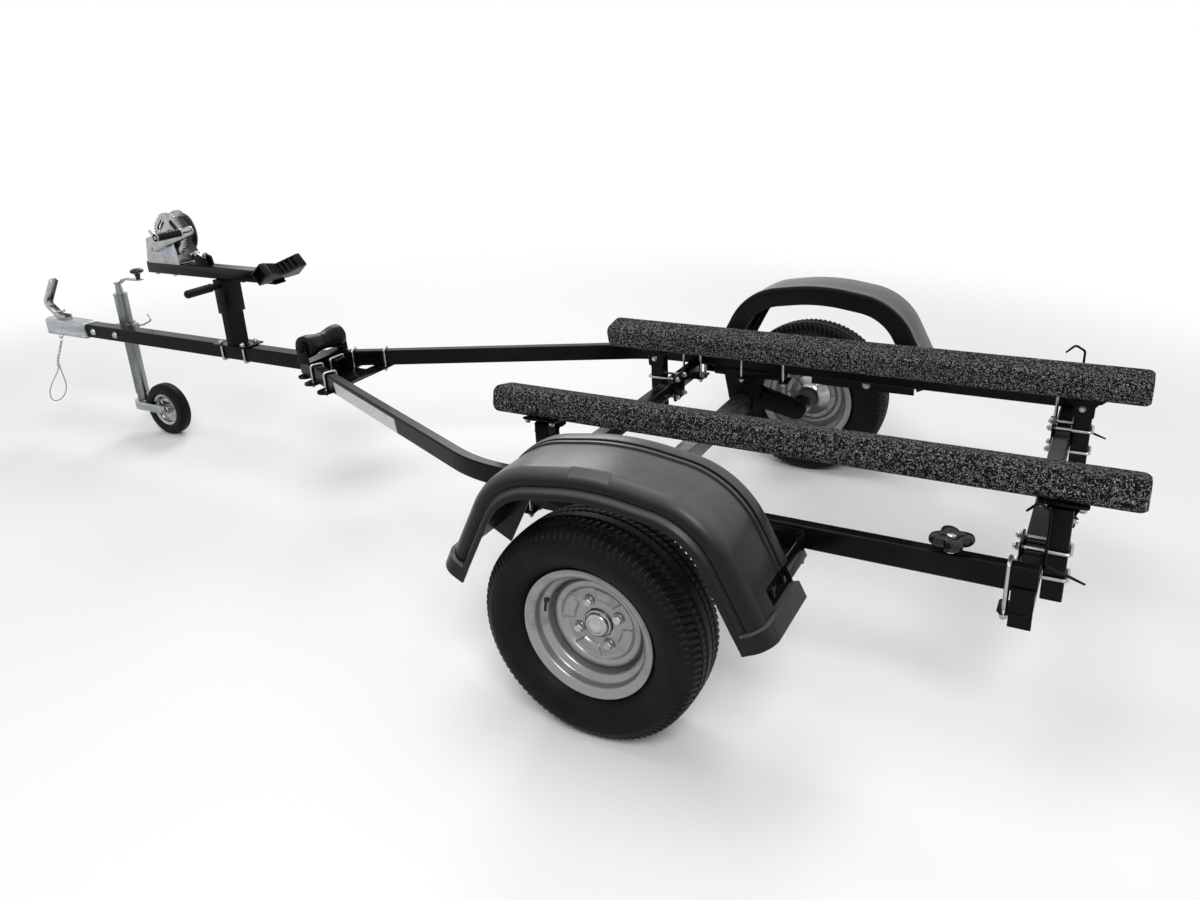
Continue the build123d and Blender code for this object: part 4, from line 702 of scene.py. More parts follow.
# Moulded fenders
def makeFenders():
    fender = {
        "midX": hubX - 0.04, "innerY": 0.622, "width": 0.19, "skirt": 0.052, "lip": 0.009, "wall": 0.004,
        "bend": 0.03,
        "arch": ((0.35, 0.345), (0.228, 0.583), (0, 0.618), (-0.228, 0.583), (-0.35, 0.345)),
        "radii": (0.19, 0.55, 0.19),
        "pad": (0.0425, 30, 21),  # half length, then the middle and half spread of its flat, in degrees
        "band": (0.036, 0.008),  # length along the end, how proud
        "pocket": (0.078, 0.112, 0.014),  # upper end, width, depth
    }
    arch = bentPath([(x, z, 0) for x, z in fender["arch"]], fender["radii"], 26, 12)
    arch = [p for i, p in enumerate(arch) if i == 0 or (p - arch[i - 1]).length > 0.0004]
    lengths = runLengths(arch)
    whole = lengths[-1]
    padHalf, padTurn, padSpread = fender["pad"]
    band, proud = fender["band"]
    pocketTop, pocketWide, pocketDeep = fender["pocket"]
    sharp = 0.0012
    ends = [0, 0.002, 0.012, 0.024, band - sharp, band, band + sharp, band + 0.003, pocketTop - 0.003]
    ends += [pocketTop - sharp, pocketTop, pocketTop + sharp, pocketTop + 0.004]
    steps = (-0.0016, -0.0006, 0.0006, 0.0016)
    middle = [whole / 2 + side * (padHalf + step) for side in (-1, 1) for step in steps]
    stations = [v for v in lengths if pocketTop + 0.006 < v < whole - pocketTop - 0.006]
    stations = sorted(stations + ends + [whole - v for v in ends] + middle)

    # Outer face as (across from the inner edge, depth below the top), then the inner face
    def section(far):
        end = min(far, whole - far)
        pad = bell(far - whole / 2, -padHalf, padHalf, 0.0025)
        raised = bell(end, -1, band, 0.0024)
        sunk = bell(end, band, pocketTop, 0.0024)
        bend, width, thick, deep = fender["bend"], fender["width"], fender["wall"], fender["skirt"]
        edge = width - fender["lip"]
        outer = [(0.0, deep), (0.0, deep - 0.003), (0.0, 0.03), (0.0, 0.016), (0.0, 0.004)]
        strip = mm([
            (0.3, -3), (1.8, -5.4), (5, -6), (12, -6), (24, -5.8), (27.8, -5), (29, -1.2), (30, 1.6),
            (32.2, 1.8), (33.4, -0.8), (34.8, -3.4), (38.5, -3.8), (42.2, -3.4), (43.6, -0.6), (44.6, 1.2),
            (46.4, 1.2), (47.8, 0),
        ])
        flat = 0.048
        run = [flat + (pocketWide - sharp - flat) * i / 4 for i in range(1, 5)] + [pocketWide + sharp]
        run += [pocketWide + sharp + (edge - bend - pocketWide - sharp) * i / 3 for i in range(1, 4)]
        strip += [(y, -0.0014 * math.sin(math.pi * (y - flat) / (edge - bend - flat))) for y in run]
        for y, d in strip:
            d += (pocketDeep - d) * sunk if y < pocketWide else 0
            outer.append((y, d + (-proud - d) * raised))
        for i in range(1, 15):
            a = math.pi / 2 * i / 14
            off, spread = a - math.radians(padTurn), math.radians(padSpread)
            level = math.cos(spread) / math.cos(off) - 0.03 if abs(off) < spread else 1
            out = bend + (proud * raised - bend * (1 - level) * pad)
            outer.append((edge - bend + out * math.sin(a), bend - out * math.cos(a)))
        bare = 1 - raised
        for y, d in (
            (edge - sharp * bare, 0.031), (edge - 0.0022 * bare, 0.0345), (edge - 0.0008 * bare, 0.0375),
            (edge + 0.0022, 0.0395), (edge + 0.005, 0.0415), (edge + 0.0072, 0.0445),
            (edge + 0.0086, 0.049), (width, 0.053), (width - 0.0002, 0.056),
        ):
            outer.append((y + (width - 0.001 - y) * raised, d))
        inner = []
        for i, (y, d) in enumerate(outer):
            before, after = outer[max(i - 1, 0)], outer[min(i + 1, len(outer) - 1)]
            dy, dd = after[0] - before[0], after[1] - before[1]
            size = math.hypot(dy, dd) or 1
            inner.append((y - dd / size * thick, d + dy / size * thick))
        inner[0] = (thick * 0.8, outer[0][1])
        return outer + inner[::-1]

    rows = []
    for far in stations:
        i = max(k for k in range(len(lengths) - 1) if lengths[k] <= far + 1e-9)
        share = min(1, (far - lengths[i]) / (lengths[i + 1] - lengths[i]))
        point = arch[i].lerp(arch[i + 1], share)
        runBefore = (arch[max(i, 1)] - arch[max(i, 1) - 1]).normalized()
        run = runBefore.lerp((arch[i + 1] - arch[i]).normalized(), 0.5 + share / 2).normalized()
        inward = Vector((run.y, -run.x, 0))
        if (Vector((0, 0.2, 0)) - point).dot(inward) < 0:
            inward = -inward
        x, z = point.x + fender["midX"], point.y
        rows.append([(x + inward.x * d, fender["innerY"] + y, z + inward.y * d) for y, d in section(far)])
    columns = len(rows[0])
    faces = gridFaces(len(rows), columns, False, True)
    for base in (0, (len(rows) - 1) * columns):
        for j in range(columns // 2 - 1):
            faces.append((base + j, base + j + 1, base + columns - 2 - j, base + columns - 1 - j))
    shape = [p for row in rows for p in row], faces
    addBoth("fender_shell", shape, "fender_plastic", "fender")


# Carpeted bunks
def makeBunks():
    bunk = {
        "rear": hubX - 0.93, "front": hubX + 0.49, "y": 0.3, "z": 0.518,
        "w": 0.087, "t": 0.067, "corner": 0.019, "waves": 9, "puff": 0.0035,
        "fold": ((0.86, 0.0), (0.45, 0.0012), (0.08, 0.0016)),  # share of the end's size, how far in
    }
    random.seed(5)
    w, t, c = bunk["w"] / 2, bunk["t"] / 2, bunk["corner"]
    turns = ((w - c, t - c, 0), (-w + c, t - c, 90), (-w + c, -t + c, 180), (w - c, -t + c, 270))
    arcs = [quarter(x, y, c, start, 7) for x, y, start in turns]
    outline = []
    for arc, following in zip(arcs, arcs[1:] + arcs[:1]):
        (u0, v0), (u1, v1) = arc[-1], following[0]
        outline += arc + [(u0 + (u1 - u0) * i / 8, v0 + (v1 - v0) * i / 8) for i in range(1, 8)]
    length = bunk["front"] - bunk["rear"]
    near = [0.0, 0.0012, 0.003, 0.0055, 0.0085, 0.012]
    stations = near + [near[-1] + (length - 2 * near[-1]) * i / 150 for i in range(1, 150)]
    stations += [length - x for x in reversed(near)]
    limits = ((4, 34), (0, 6.28), (0.1, 0.35))  # of the waves' frequency, phase and height
    waves = [[random.uniform(*limit) for limit in limits] for i in range(bunk["waves"])]
    points = []
    for x in stations:
        pull = 1 - 0.17 * max(0, 1 - min(x, length - x) / 0.014) ** 2
        for k, (u, v) in enumerate(outline):
            puff = sum(a * math.sin(f * x + p + k * 0.37 * (1 + f % 3)) for f, p, a in waves)
            out = 1 - 0.0095 + bunk["puff"] * puff
            seam = 0.0022 * math.exp(-((u + 0.012) / 0.004) ** 2) if v < -t + 0.001 else 0
            u, v = u * pull * out, v * pull * out + seam
            y = bunk["y"] + u * math.cos(tilt) - v * math.sin(tilt)
            points.append((bunk["rear"] + x, y, bunk["z"] + u * math.sin(tilt) + v * math.cos(tilt)))
    count = len(outline)
    faces = gridFaces(len(stations), count, False, True)
    # Folded ends: the wrap closes towards the middle of the bar's end
    for base, sign in ((0, 1), ((len(stations) - 1) * count, -1)):
        previous = base
        x, y, z = (sum(points[base + k][a] for k in range(count)) / count for a in range(3))
        for share, sink in bunk["fold"]:
            begin = len(points)
            for k in range(count):
                u, v, w = points[base + k]
                fold = 0.0008 * math.sin(k * tau * 4 / count) * (1 - share)
                u += sign * (sink + fold + 0.0004)
                points.append((u, y + (v - y) * share, z + (w - z) * share))
            for k in range(count):
                after = (k + 1) % count
                faces.append((previous + k, previous + after, begin + after, begin + k))
            previous = begin
        faces.append(tuple(previous + k for k in range(count)))
    addBoth("bunk_cover", (points, faces), "bunk_carpet", "bunk")


# Pressed, cut and welded steel: each node's own shape with its sharp edges a little rounded
def softenSteel():
    edges = {
        "black_frame": {
            "front_cross_beam": 0.0006, "rear_cross_beam": 0.0006, "junction_plates": 0.001,
            "axle_brackets": 0.001, "keel_roller_bracket": 0.0008, "winch_post": 0.0008,
            "winch_post_sleeve": 0.0012, "winch_boom": 0.0008, "left_fender_stays": 0.0008,
            "right_fender_stays": 0.0008, "left_trailing_arm": 0.0025, "right_trailing_arm": 0.0025,
        },
        "galvanised": {
            "coupling_head": 0.0022, "coupling_handle": 0.0012, "jockey_clamp": 0.0012, "jockey_fork": 0.001,
        },
        "bright_zinc": {"winch_frame": 0.0008, "winch_crank": 0.0008},
        "black_rubber": {"bow_stop": 0.0014},
    }
    for slot, node, edge in ((slot, *pair) for slot, nodes in edges.items() for pair in nodes.items()):
        mesh = frame["nodes"][node].data.copy()
        mesh.name = node + "_soft"
        obj = addObject(mesh.name, mesh)
        work = bmesh.new()
        work.from_mesh(mesh)
        bmesh.ops.remove_doubles(work, verts=work.verts, dist=2e-6)
        bmesh.ops.dissolve_limit(work, angle_limit=0.004, verts=work.verts, edges=work.edges)
        sharp = [e for e in work.edges if e.is_manifold and e.calc_face_angle(0) > 0.5]
        bmesh.ops.bevel(
            work, geom=sharp, offset=edge, segments=2, profile=0.5, affect="EDGES",
            clamp_overlap=True, miter_outer="ARC",
        )
        shade(work, mesh, 0.6)
        mesh.materials.clear()
        mesh.materials.append(otherLooks.get(node, looks[slot]))
        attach(obj, bodyOf(node))
        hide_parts(node)


# U-bolts, their nuts and clamp plates
def makeBolts():
    bolt = {
        "r": 0.004, "flats": 0.0136, "nut": 0.0064, "washer": 0.0083, "dome": 0.003,
        "thread": 0.02, "spare": 0.012, "bend": (0.005, 0.005),
    }
    axle = {"xs": (-0.8045, -0.9355), "in": 0.019, "out": 0.0188, "top": 0.4346, "low": 0.34, "r": 0.0036}
    groups = {"junction_u_bolts": [], "post_u_bolts": [], "post_clamps": [], "beam_clamps": []}
    plates = {"post_clamps": [], "beam_clamps": []}

    # A hoop from its top middle, the way across it, the way of its legs and how far the nuts are
    def hoop(node, middle, across, legs, width, reach, dome=0.0):
        middle, across, legs = Vector(middle), Vector(across), Vector(legs)
        half = width / 2 + bolt["r"]
        far = legs * (reach + bolt["spare"])
        near = legs * bolt["r"]
        corners = [
            middle - across * half + far, middle - across * half - near,
            middle + across * half - near, middle + across * half + far,
        ]
        parts = groups[node]
        parts.append(rod(bentPath(corners, bolt["bend"]), bolt["r"] - 0.0001, 14, bolt["thread"]))
        for sign in (-1, 1):
            foot = middle + across * sign * half + legs * reach
            parts.append(hexNut(foot, legs, bolt["flats"], bolt["nut"], bolt["washer"], dome))

    for back in (0.1, 0.196):
        for side in (-1, 1):
            middle = (legX - back, side * (legY + back * math.tan(lean)), railTop)
            hoop("junction_u_bolts", middle, (side * math.sin(lean), math.cos(lean), 0), down, 0.03, 0.055)
    hoop("junction_u_bolts", (rowFront - 0.11, 0, railTop), along, down, 0.05, 0.055)
    for shift in (-0.052, 0.052):
        hoop("post_u_bolts", (hubX + 1.782 + shift, 0, railLow), along, up, 0.05, 0.055, bolt["dome"])
    for x, ahead in bracketXs:
        for side in (-1, 1):
            middle = (x - ahead * 0.06, side * 0.324, 0.361)
            plate = roundedPlate(middle, (0, 0.036, 0), (0, 0, -0.04 * ahead), 0.005, 0.008)
            plates["post_clamps"].append(plate)
            for level in (-0.028, 0.028):
                middle = (x + ahead * 0.02, side * 0.324, 0.361 + level)
                hoop("post_clamps", middle, along, (-ahead, 0, 0), 0.04, 0.085, bolt["dome"])
    for x, plateX, halfLong, halfWide, shifts in (
        (-0.6425, -0.6425, 0.04, 0.031, (-0.028, 0.028)), (-1.7055, -1.692, 0.0265, 0.0225, (0.028,)),
    ):
        for side in (-1, 1):
            middle = (plateX, side * 0.4935, 0.336)
            plate = roundedPlate(middle, (halfLong, 0, 0), (0, halfWide, 0), 0.005, 0.006)
            plates["beam_clamps"].append(plate)
            for shift in shifts:
                hoop("beam_clamps", (x + shift, side * railY, railTop), along, down, 0.03, 0.095)
    for node, parts in groups.items():
        addPiece(node + "_threaded", joined(parts), "bright_zinc", node)
    for node, parts in plates.items():
        addPiece(node + "_plates", joined(parts), "black_frame")

    # Hoops that hold each axle bracket to its rail, with a lug under each pair of legs
    hoops, lugs = [], []
    for side in (-1, 1):
        for x in axle["xs"]:
            y = side * railY
            low, high = y - axle["in"], y + axle["out"]
            levels = ((low, axle["low"]), (low, axle["top"]), (high, axle["top"]), (high, axle["low"]))
            path = bentPath([(x, *level) for level in levels], bolt["bend"])
            hoops.append(rod(path, axle["r"], 12, 0.014))
            for leg in (low, high):
                hoops.append(hexNut((x, leg, 0.352), down, 0.012, 0.006, 0.0072))
            lugs.append(roundedPlate((x, y, 0.352), (0.014, 0, 0), (0, 0.028, 0), 0.005, 0.006))
    addPiece("axle_hoops", joined(hoops), "bright_zinc")
    addPiece("axle_lugs", joined(lugs), "black_frame")


# Bunk brackets: a flange under the bunk on a tapered web, and the plates that close the rear beam
def makeBrackets():
    bracket = {
        "y": 0.299, "wide": 0.058, "thick": 0.005, "half": 0.045, "foot": 0.024, "low": 0.4236,
        "corner": 0.008, "cove": 0.012, "edge": 0.0006,
    }
    y0, wide, thick, half, foot, low, corner, cove, edge = bracket.values()
    y1, thick = y0 + wide, thick / math.cos(tilt)
    outline = quarter(half - corner, y1 - corner, corner, 0) + quarter(corner - half, y1 - corner, corner, 90)
    outline += [(-half, y0), (half, y0)]

    def under(y):
        return 0.48375 + (y - 0.3) * math.tan(tilt)

    top = under(y0) - 0.001
    web = [(half, top), (half, top - 0.012)]
    for k in range(7):
        turn = math.radians(15 * k)
        web.append((foot + cove - cove * math.sin(turn), top - 0.02 - cove * (1 - math.cos(turn))))
    web += [(foot, low + 0.006), (foot - 0.0018, low + 0.0018), (foot - 0.006, low)]
    web += [(-u, z) for u, z in reversed(web)]
    parts = []
    for x, side in ((x, side) for x, ahead in bracketXs for side in (-1, 1)):
        points = []
        for drop, inset in ((0, edge), (edge, 0), (thick - edge, 0), (thick, edge)):
            points += [(x + u * (1 - inset / half), side * v, under(v) - drop) for u, v in outline]
        parts.append((points, tubeFaces(4, len(outline))))
        points = []
        for y, inset in ((y0, 0.0005), (y0 + 0.0005, 0), (y0 + 0.0045, 0), (y0 + 0.005, 0.0005)):
            points += [(x + u * (1 - inset / 0.03), side * y, z) for u, z in web]
        parts.append((points, tubeFaces(4, len(web))))
    addPiece("bracket_webs", joined(parts), "black_frame", "bunk_brackets")
    caps = [
        roundedPlate((-1.7055, y, 0.3515), (0.02, 0, 0), (0, 0, 0.0405), 0.005, 0.002, edge)
        for y in (0.514, -0.509)
    ]
    addPiece("beam_caps", joined(caps), "black_frame", "rear_end_plates")


# Small fasteners: bracket bolts, boom bolts and rail plugs
def makeFasteners():
    # Across the flats, height, washer and dome
    sizes = {
        "bracket": (0.0126, 0.0052, 0.008, 0.0022), "plain": (0.0126, 0.0052, 0.008),
        "boom": (0.015, 0.0065, 0.0095, 0.003), "plug": (0.015, 0.004, 0.0112, 0.003),
    }
    parts = []
    for side in (-1, 1):
        for x, ahead in bracketXs:
            parts.append(hexNut((x + ahead * 0.02, side * 0.326, 0.452), (ahead, 0, 0), *sizes["bracket"]))
            for shift in (-0.034, 0.034):
                way = (0, side * math.sin(tilt), -math.cos(tilt))
                parts.append(hexNut((x + shift, side * 0.3455, 0.4883), way, *sizes["bracket"]))
            parts.append(hexNut((x + 0.004, side * 0.299, 0.447), (0, -side, 0), *sizes["plain"]))
    for x in (1.085, 1.175):
        parts.append(hexNut((x, -0.004, 0.66), down, *sizes["boom"]))
    for side in (-1, 1):
        parts.append(hexNut((-1.1735, side * 0.509, 0.366), (0, -side, 0), *sizes["plug"]))
    addPiece("bracket_bolts", joined(parts), "bright_zinc")


# Silver band along the outside of the left leg, with nothing on it
def makeLegPlate():
    plate = {
        "front": 0.283, "rear": 0.696, "low": 0.3845, "high": 0.422,
        "slant": 0.006, "thick": 0.0004, "corner": 0.0025, "off": 0.0151,
    }
    front, rear, low, high, slant, thick, corner, off = plate.values()
    out = Vector((math.sin(lean), math.cos(lean), 0))
    back = Vector((-math.cos(lean), math.sin(lean), 0))
    start = Vector((legX, legY, 0)) + out * off
    ends = ((front + slant, low), (rear + slant, low), (rear - slant, high), (front - slant, high))
    corners = [Vector((*end, 0)) for end in ends]
    outline = []
    for before, here, after in zip(corners[-1:] + corners, corners, corners[1:] + corners[:1]):
        a, b = (here.lerp(other, corner / (here - other).length) for other in (before, after))
        for share in (0, 0.25, 0.5, 0.75, 1):
            outline.append(a.lerp(b, share).lerp(here, 0.35 * math.sin(math.pi * share)))
    points = []
    for deep in (0, thick):
        points += [start + back * p.x + out * deep + Vector((0, 0, p.y)) for p in outline]
    addPiece("leg_plate", (points, tubeFaces(2, len(outline))), "silver_paint", look=blankSticker)


# Hubs with a stepped cap and four wheel bolts
def makeHubs():
    hub = {"phase": 65.3, "circle": 0.05, "face": 0.7152, "nut": (0.0178, 0.0088, 0.0112)}
    profile = mm([
        (0.1, 22.6), (12, 22.2), (16, 21.2), (16.8, 20.4), (18.5, 20.6), (22.2, 19.6), (25, 17.6),
        (26.2, 15.8), (26.6, 12), (26.8, 9.6), (29, 8.8), (30, 7), (30, 4.6), (30.8, 3.4), (30.9, -1),
        (64, -1), (65, -2), (65, -8), (64, -9), (40, -16.5), (32, -24), (31, -30), (31, -90), (29.5, -95),
        (13.5, -95), (13, -90), (13, -10), (0.1, -9.5),
    ])
    collar = mm([(0.1, 0), (9.2, 0), (9.5, 0.8), (8, 2.6), (0.1, 2.6)])
    crown = mm([(0.1, 10), (6, 10.4), (7, 10.8), (7.6, 10.2), (7.6, 9), (0.1, 9)])
    parts = [lathe(profile, wheelMiddle, 72)]
    for k in range(4):
        a = math.radians(hub["phase"] + 90 * k)
        x, z = wheelMiddle[0] + hub["circle"] * math.cos(a), wheelMiddle[2] + hub["circle"] * math.sin(a)
        foot = (x, hub["face"], z)
        parts += [hexNut(foot, along, *hub["nut"]), lathe(collar, foot, 24), lathe(crown, foot, 24)]
    addBoth("hub_capped", joined(parts), "bright_zinc", "hub")


# Jockey wheel: solid tyre with a grooved tread, pressed rim, black crank knob
def makeJockeyWheel():
    wheel = {"centre": (1.3595, -0.06, 0.1), "ribs": 6, "rib": 0.0026, "knob": (1.3725, -0.06, 0.6026)}
    half = mm([
        (62.2, 19), (64, 21.2), (68, 23.2), (72, 23.8), (80, 24), (85, 23.9), (90.5, 23.2), (94.5, 21.4),
        (97.2, 18.6), (98.6, 15), (99, 13.2), (97.5, 12.4), (97.5, 10.8), (99.2, 10), (99.8, 6), (100, 0),
    ])
    shape = lathe(twoSided(half), wheel["centre"], 96)
    addPiece("jockey_tread", shape, "tyre_rubber", "jockey_tyre")
    face = mm([
        (6.3, 21.5), (12, 21.8), (15, 21.2), (16.2, 19.6), (17, 12), (18.2, 8.2), (22, 6.6), (30, 7.4),
        (40, 6.2), (44, 5.6), (46.8, 6.6), (49, 11), (51.2, 16), (53.6, 17.8), (57.5, 18.2), (60, 19.2),
        (61.4, 18.8), (61.7, 17),
    ])

    def ribs(r, y, angle):
        if 0.019 < r < 0.046:
            lift = bell((angle * wheel["ribs"] / tau) % 1, 0.3, 0.7, 0.16) * bell(r, 0.022, 0.043, 0.006)
            y += math.copysign(wheel["rib"] * lift, y)
        return r, y

    shape = lathe(twoSided(face, 0), wheel["centre"], 120, ribs)
    addPiece("jockey_rim_pressing", shape, "bright_zinc", "jockey_rim")
    knob = mm([
        (7.2, 0), (7.6, 4), (9.2, 14), (10.8, 19.5), (15, 23.5), (21.2, 26.2), (23.6, 29), (24.2, 32),
        (23.2, 35), (19.4, 37.6), (14, 39.8), (8, 41.6), (0.2, 42), (0.2, 0),
    ])
    shape = lathe(knob, wheel["knob"], 40, axis="Z")
    addPiece("jockey_knob", shape, "black_plastic", body=bodyOf("jockey_crank"))


# Keel roller: waisted rubber with moulded rims and a sleeve at each end
def makeRoller():
    roller = {"centre": (0.4395, 0, 0.481)}
    side = mm([
        (8.5, 79), (13, 79.7), (30, 79.8), (33, 79), (35.2, 76.8), (35.9, 74), (35.9, 60), (35.4, 52),
        (34, 44), (31.8, 34), (29.4, 23), (27.8, 12), (27.4, 6), (28, 4), (28, 0),
    ])
    shape = lathe(twoSided(side), roller["centre"], 72)
    addPiece("roller_rubber", shape, "black_rubber", "keel_roller")


# Rubber grips on the push handle and the winch crank
def makeGrips():
    grip = {
        "centre": (0.8295, 0, 0.642), "inner": 0.066, "outer": 0.1688,
        "r": 0.0136, "rib": 0.0016, "cap": 0.012,
    }
    inner, cap = grip["inner"], grip["outer"] - grip["cap"]
    profile = [(0.0112, inner), (0.0142, inner + 0.001), (0.014, inner + 0.003)]
    for i in range(2, 53):
        wave = bell((i % 6) / 6, 0.15, 0.85, 0.3)
        profile.append((grip["r"] - grip["rib"] * (1 - wave), inner + (cap - inner) * i / 52))
    for i in range(1, 9):
        a = math.pi / 2 * i / 8
        profile.append((grip["r"] * math.cos(a) + 0.0002, cap + grip["cap"] * math.sin(a)))
    profile.append((0.0002, inner + 0.004))
    parts = [lathe([(r, sign * y) for r, y in profile], grip["centre"], 40) for sign in (-1, 1)]
    addPiece("handle_grips", joined(parts), "black_rubber", "push_grips")

    low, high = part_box("winch_grip")
    centre = ((low[0] + high[0]) / 2, 0, (low[2] + high[2]) / 2)
    near, far = low[1], high[1]
    profile = [(0.0064, near + 0.0002), (0.0118, near + 0.0002), (0.0128, near + 0.0014)]
    for i in range(27):
        y = near + 0.004 + (far - near - 0.008) * i / 26
        profile.append((0.0127 - (0.001 if i % 4 == 2 else 0), y))
    profile += [(0.0128, far - 0.0014), (0.0118, far - 0.0002), (0.0064, far - 0.0002)]
    addPiece("crank_grip", lathe(profile, centre, 36), "black_rubber", "winch_grip")
    bands = []
    for y, sign in ((near + 0.0002, 1), (far - 0.0002, -1)):
        band = mm([(6.3, 0), (12.95, 0), (13, 4), (12.4, 4.6), (6.3, 4.6)])
        bands.append(lathe([(r, y + sign * w) for r, w in band], centre, 36))
    addPiece("crank_grip_bands", joined(bands), "bright_zinc", body=bodyOf("winch_grip"))


# Rail knobs, tie-down rods and the coupling's bolts
def makeKnobsAndRods():
    knob = {"x": -1.5765, "r": 0.041, "low": 0.4435, "lobes": 4, "turn": 20, "pinch": 0.36}
    outline = [
        (0.3, 0.0), (0.62, 0.0008), (0.88, 0.003), (0.975, 0.007), (1.0, 0.0115), (0.985, 0.0165),
        (0.92, 0.0205), (0.74, 0.0226), (0.52, 0.0224), (0.34, 0.0206), (0.26, 0.0196), (0.004, 0.0196),
        (0.004, 0.0),
    ]
    outline = [(share * knob["r"], knob["low"] + high) for share, high in outline]
    stud = mm([(5.5, 433), (5.5, 444), (0.2, 444), (0.2, 433)])
    washer = mm([(0.2, 431.2), (11.2, 431.2), (11.8, 431.8), (11.6, 433.2), (0.2, 433.4)])
    dome = mm([(0.2, 463), (8.6, 463), (8.4, 464.6), (6.6, 465.8), (3.6, 466.4), (0.2, 466.6)])

    def lobes(r, z, angle):
        lobe = 0.5 + 0.5 * math.cos(knob["lobes"] * (angle - math.radians(knob["turn"])))
        return r * (1 - knob["pinch"] * (1 - lobe ** 0.8) * min(1, r / knob["r"] / 0.6)), z

    knobs, studs = [], []
    for side in (-1, 1):
        centre = (knob["x"], side * railY, 0)
        knobs.append(lathe(outline, centre, 96, lobes, axis="Z"))
        for part, sides in ((stud, 20), (washer, 28), (dome, 28)):
            studs.append(lathe(part, centre, sides, axis="Z"))
    addPiece("clamp_knobs", joined(knobs), "black_plastic", "rail_knobs")
    addPiece("clamp_studs", joined(studs), "bright_zinc")

    hook = {"x": -1.7288, "y": 0.375, "tops": ((1, 0.497), (-1, 0.58)), "r": 0.0029, "bends": (0.008,) * 3}
    rods = []
    for side, top in hook["tops"]:
        route = [(0.042, top - 0.018), (0.022, top + 0.003), (0, top - 0.01), (0, 0.374), (-0.072, 0.349)]
        corners = [(hook["x"] + x, side * hook["y"], z) for x, z in route]
        rods.append(rod(bentPath(corners, hook["bends"]), hook["r"], 14))
    addPiece("tie_rods", joined(rods), "black_frame", "tie_hooks")

    head = mm([(0.2, 0), (12.4, 0), (12.5, 1.6), (11.2, 2), (10.6, 4.8), (8.8, 7.4), (5.6, 9.2), (0.2, 9.8)])
    shank = mm([(0.2, -24.8), (4.9, -24.8), (4.9, 25), (0.2, 25)])
    bolts = []
    for x in (1.4565, 1.5825):
        bolts += [lathe(head, (x, 0.025, 0.406), 32), lathe(shank, (x, 0.0, 0.406), 20)]
    addPiece("coupling_domed_bolts", joined(bolts), "bright_zinc", "coupling_bolts")


# Latch catch and pin on the coupling, label with nothing on it on the winch
def makeSmallTrim():
    catch = {"x": 1.7955, "z": 0.456, "half": 0.007, "edge": 0.0008}
    outline = mm([
        (0, 0), (6, 0.4), (16, 0.6), (20.5, 3), (22, 7.5), (19.5, 12), (12, 14), (4, 12.8), (-1.5, 8),
        (-2.4, 3),
    ])
    x, z, half, inner = catch["x"] - 0.006, catch["z"] - 0.006, catch["half"], catch["half"] - catch["edge"]
    points = []
    for y, size, lift in ((-half, 0.42, 0.0006), (-inner, 0.5, 0), (inner, 0.5, 0), (half, 0.42, 0.0006)):
        points += [(x + u * size, y, z + v * size + lift) for u, v in outline]
    addPiece("latch_catch", (points, tubeFaces(4, len(outline))), "galvanised", look=latchOrange)
    pin = mm([(0.2, -18.6), (4.8, -18.6), (5.4, -17.6), (5.4, -16.2), (4, -15.8)])
    shape = lathe(twoSided(pin, 0), (catch["x"] + 0.006, 0, catch["z"] + 0.004), 24)
    addPiece("latch_pin", shape, "bright_zinc")

    label = {
        "corners": ((1.1025, 0.739), (1.0425, 0.73), (1.0295, 0.76), (1.0885, 0.755)),
        "y": (0.0351, 0.0354),
    }
    points = [(x, y, z) for y in label["y"] for x, z in label["corners"]]
    addPiece("winch_label", (points, tubeFaces(2, 4)), "bright_zinc", look=paleLabel)


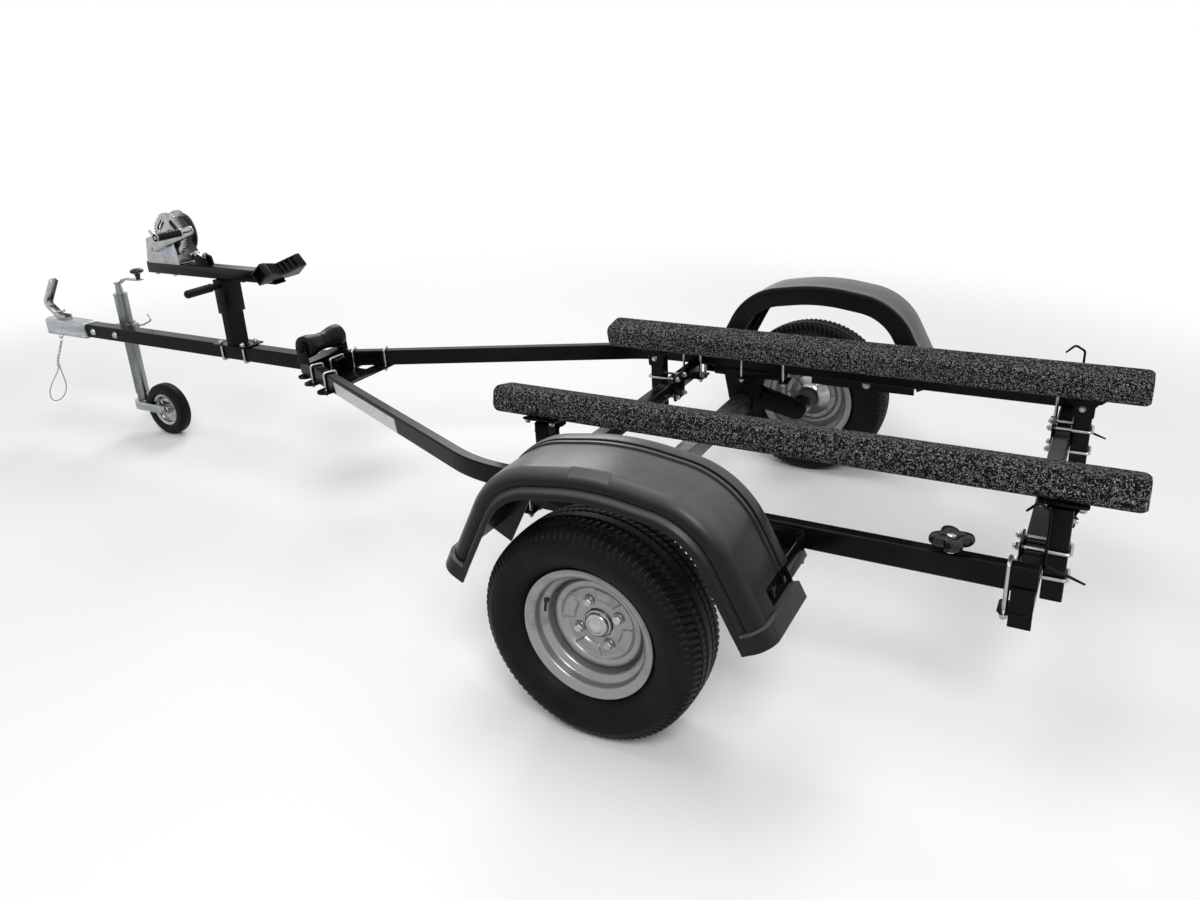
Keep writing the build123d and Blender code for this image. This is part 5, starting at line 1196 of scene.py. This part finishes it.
# Floor, backdrop and light
def makeStage():
    studio = {
        "clear": 2.3, "fade": 1.6, "light": 0.4, "floor": 30, "middle": 0.2,
        "lamps": {  # place, width and power
            "key": ((-3.2, 3.6, 4.2), 2.2, 150),
            "rim": ((2.5, -3.4, 3.6), 2.4, 80),
            "top": ((-0.2, 0.2, 4.4), 2.6, 56),
        },
    }
    t = lookTree("studio_white")
    tone = t.mix(t.noise(0.4).spread(0.2, 0.8), (0.93, 0.93, 0.93), (0.95, 0.95, 0.95))
    paint = t.add("ShaderNodeBsdfDiffuse", {}, {0: tone})
    white = t.add("ShaderNodeEmission", {}, {0: (1, 1, 1, 1)})
    x, y = t.axis("X") - studio["middle"], t.axis("Y")
    far = (x * x + y * y) ** 0.5
    blend = far.spread(studio["clear"], studio["clear"] + studio["fade"]) * t.seen()
    surface = t.add("ShaderNodeMixShader", {}, {0: blend, 1: paint, 2: white})
    t.add("ShaderNodeOutputMaterial", {}, {0: surface})
    mesh = bpy.data.meshes.new("floor")
    corners = [(u * studio["floor"], v * studio["floor"], 0) for u, v in ((-1, -1), (1, -1), (1, 1), (-1, 1))]
    mesh.from_pydata(corners, [], [(0, 1, 2, 3)])
    mesh.materials.append(t.owner)
    addObject("floor", mesh)
    scene.world = bpy.data.worlds.new("studio")
    sky = Tree(scene.world)
    strength = sky.seen().spread(0, 1, studio["light"], 1.0)
    back = sky.add("ShaderNodeBackground", {}, {0: (1, 1, 1, 1), 1: strength})
    sky.add("ShaderNodeOutputWorld", {}, {0: back})
    for name, (place, size, power) in studio["lamps"].items():
        data = bpy.data.lights.new(name, "AREA")
        data.shape = "DISK"
        data.size = size
        data.energy = power
        lamp = addObject(name, data)
        lamp.location = place
        lamp.rotation_euler = (Vector((0, 0, 0.4)) - Vector(place)).to_track_quat("-Z", "Y").to_euler()
    scene.view_settings.view_transform = "Standard"


stages = {
    "camera": makeCamera, "CAD nodes' finish": dressNodes, "cable": makeCable, "tyres": makeTyres,
    "rims": makeRims, "fenders": makeFenders, "bunks": makeBunks, "softened steel": softenSteel,
    "bolts": makeBolts, "brackets": makeBrackets, "fasteners": makeFasteners, "leg plate": makeLegPlate,
    "hubs": makeHubs, "jockey wheel": makeJockeyWheel, "roller": makeRoller, "grips": makeGrips,
    "knobs and rods": makeKnobsAndRods, "trim": makeSmallTrim, "stage": makeStage,
}
for stage, make in stages.items():
    make()
    print(stage + " made")
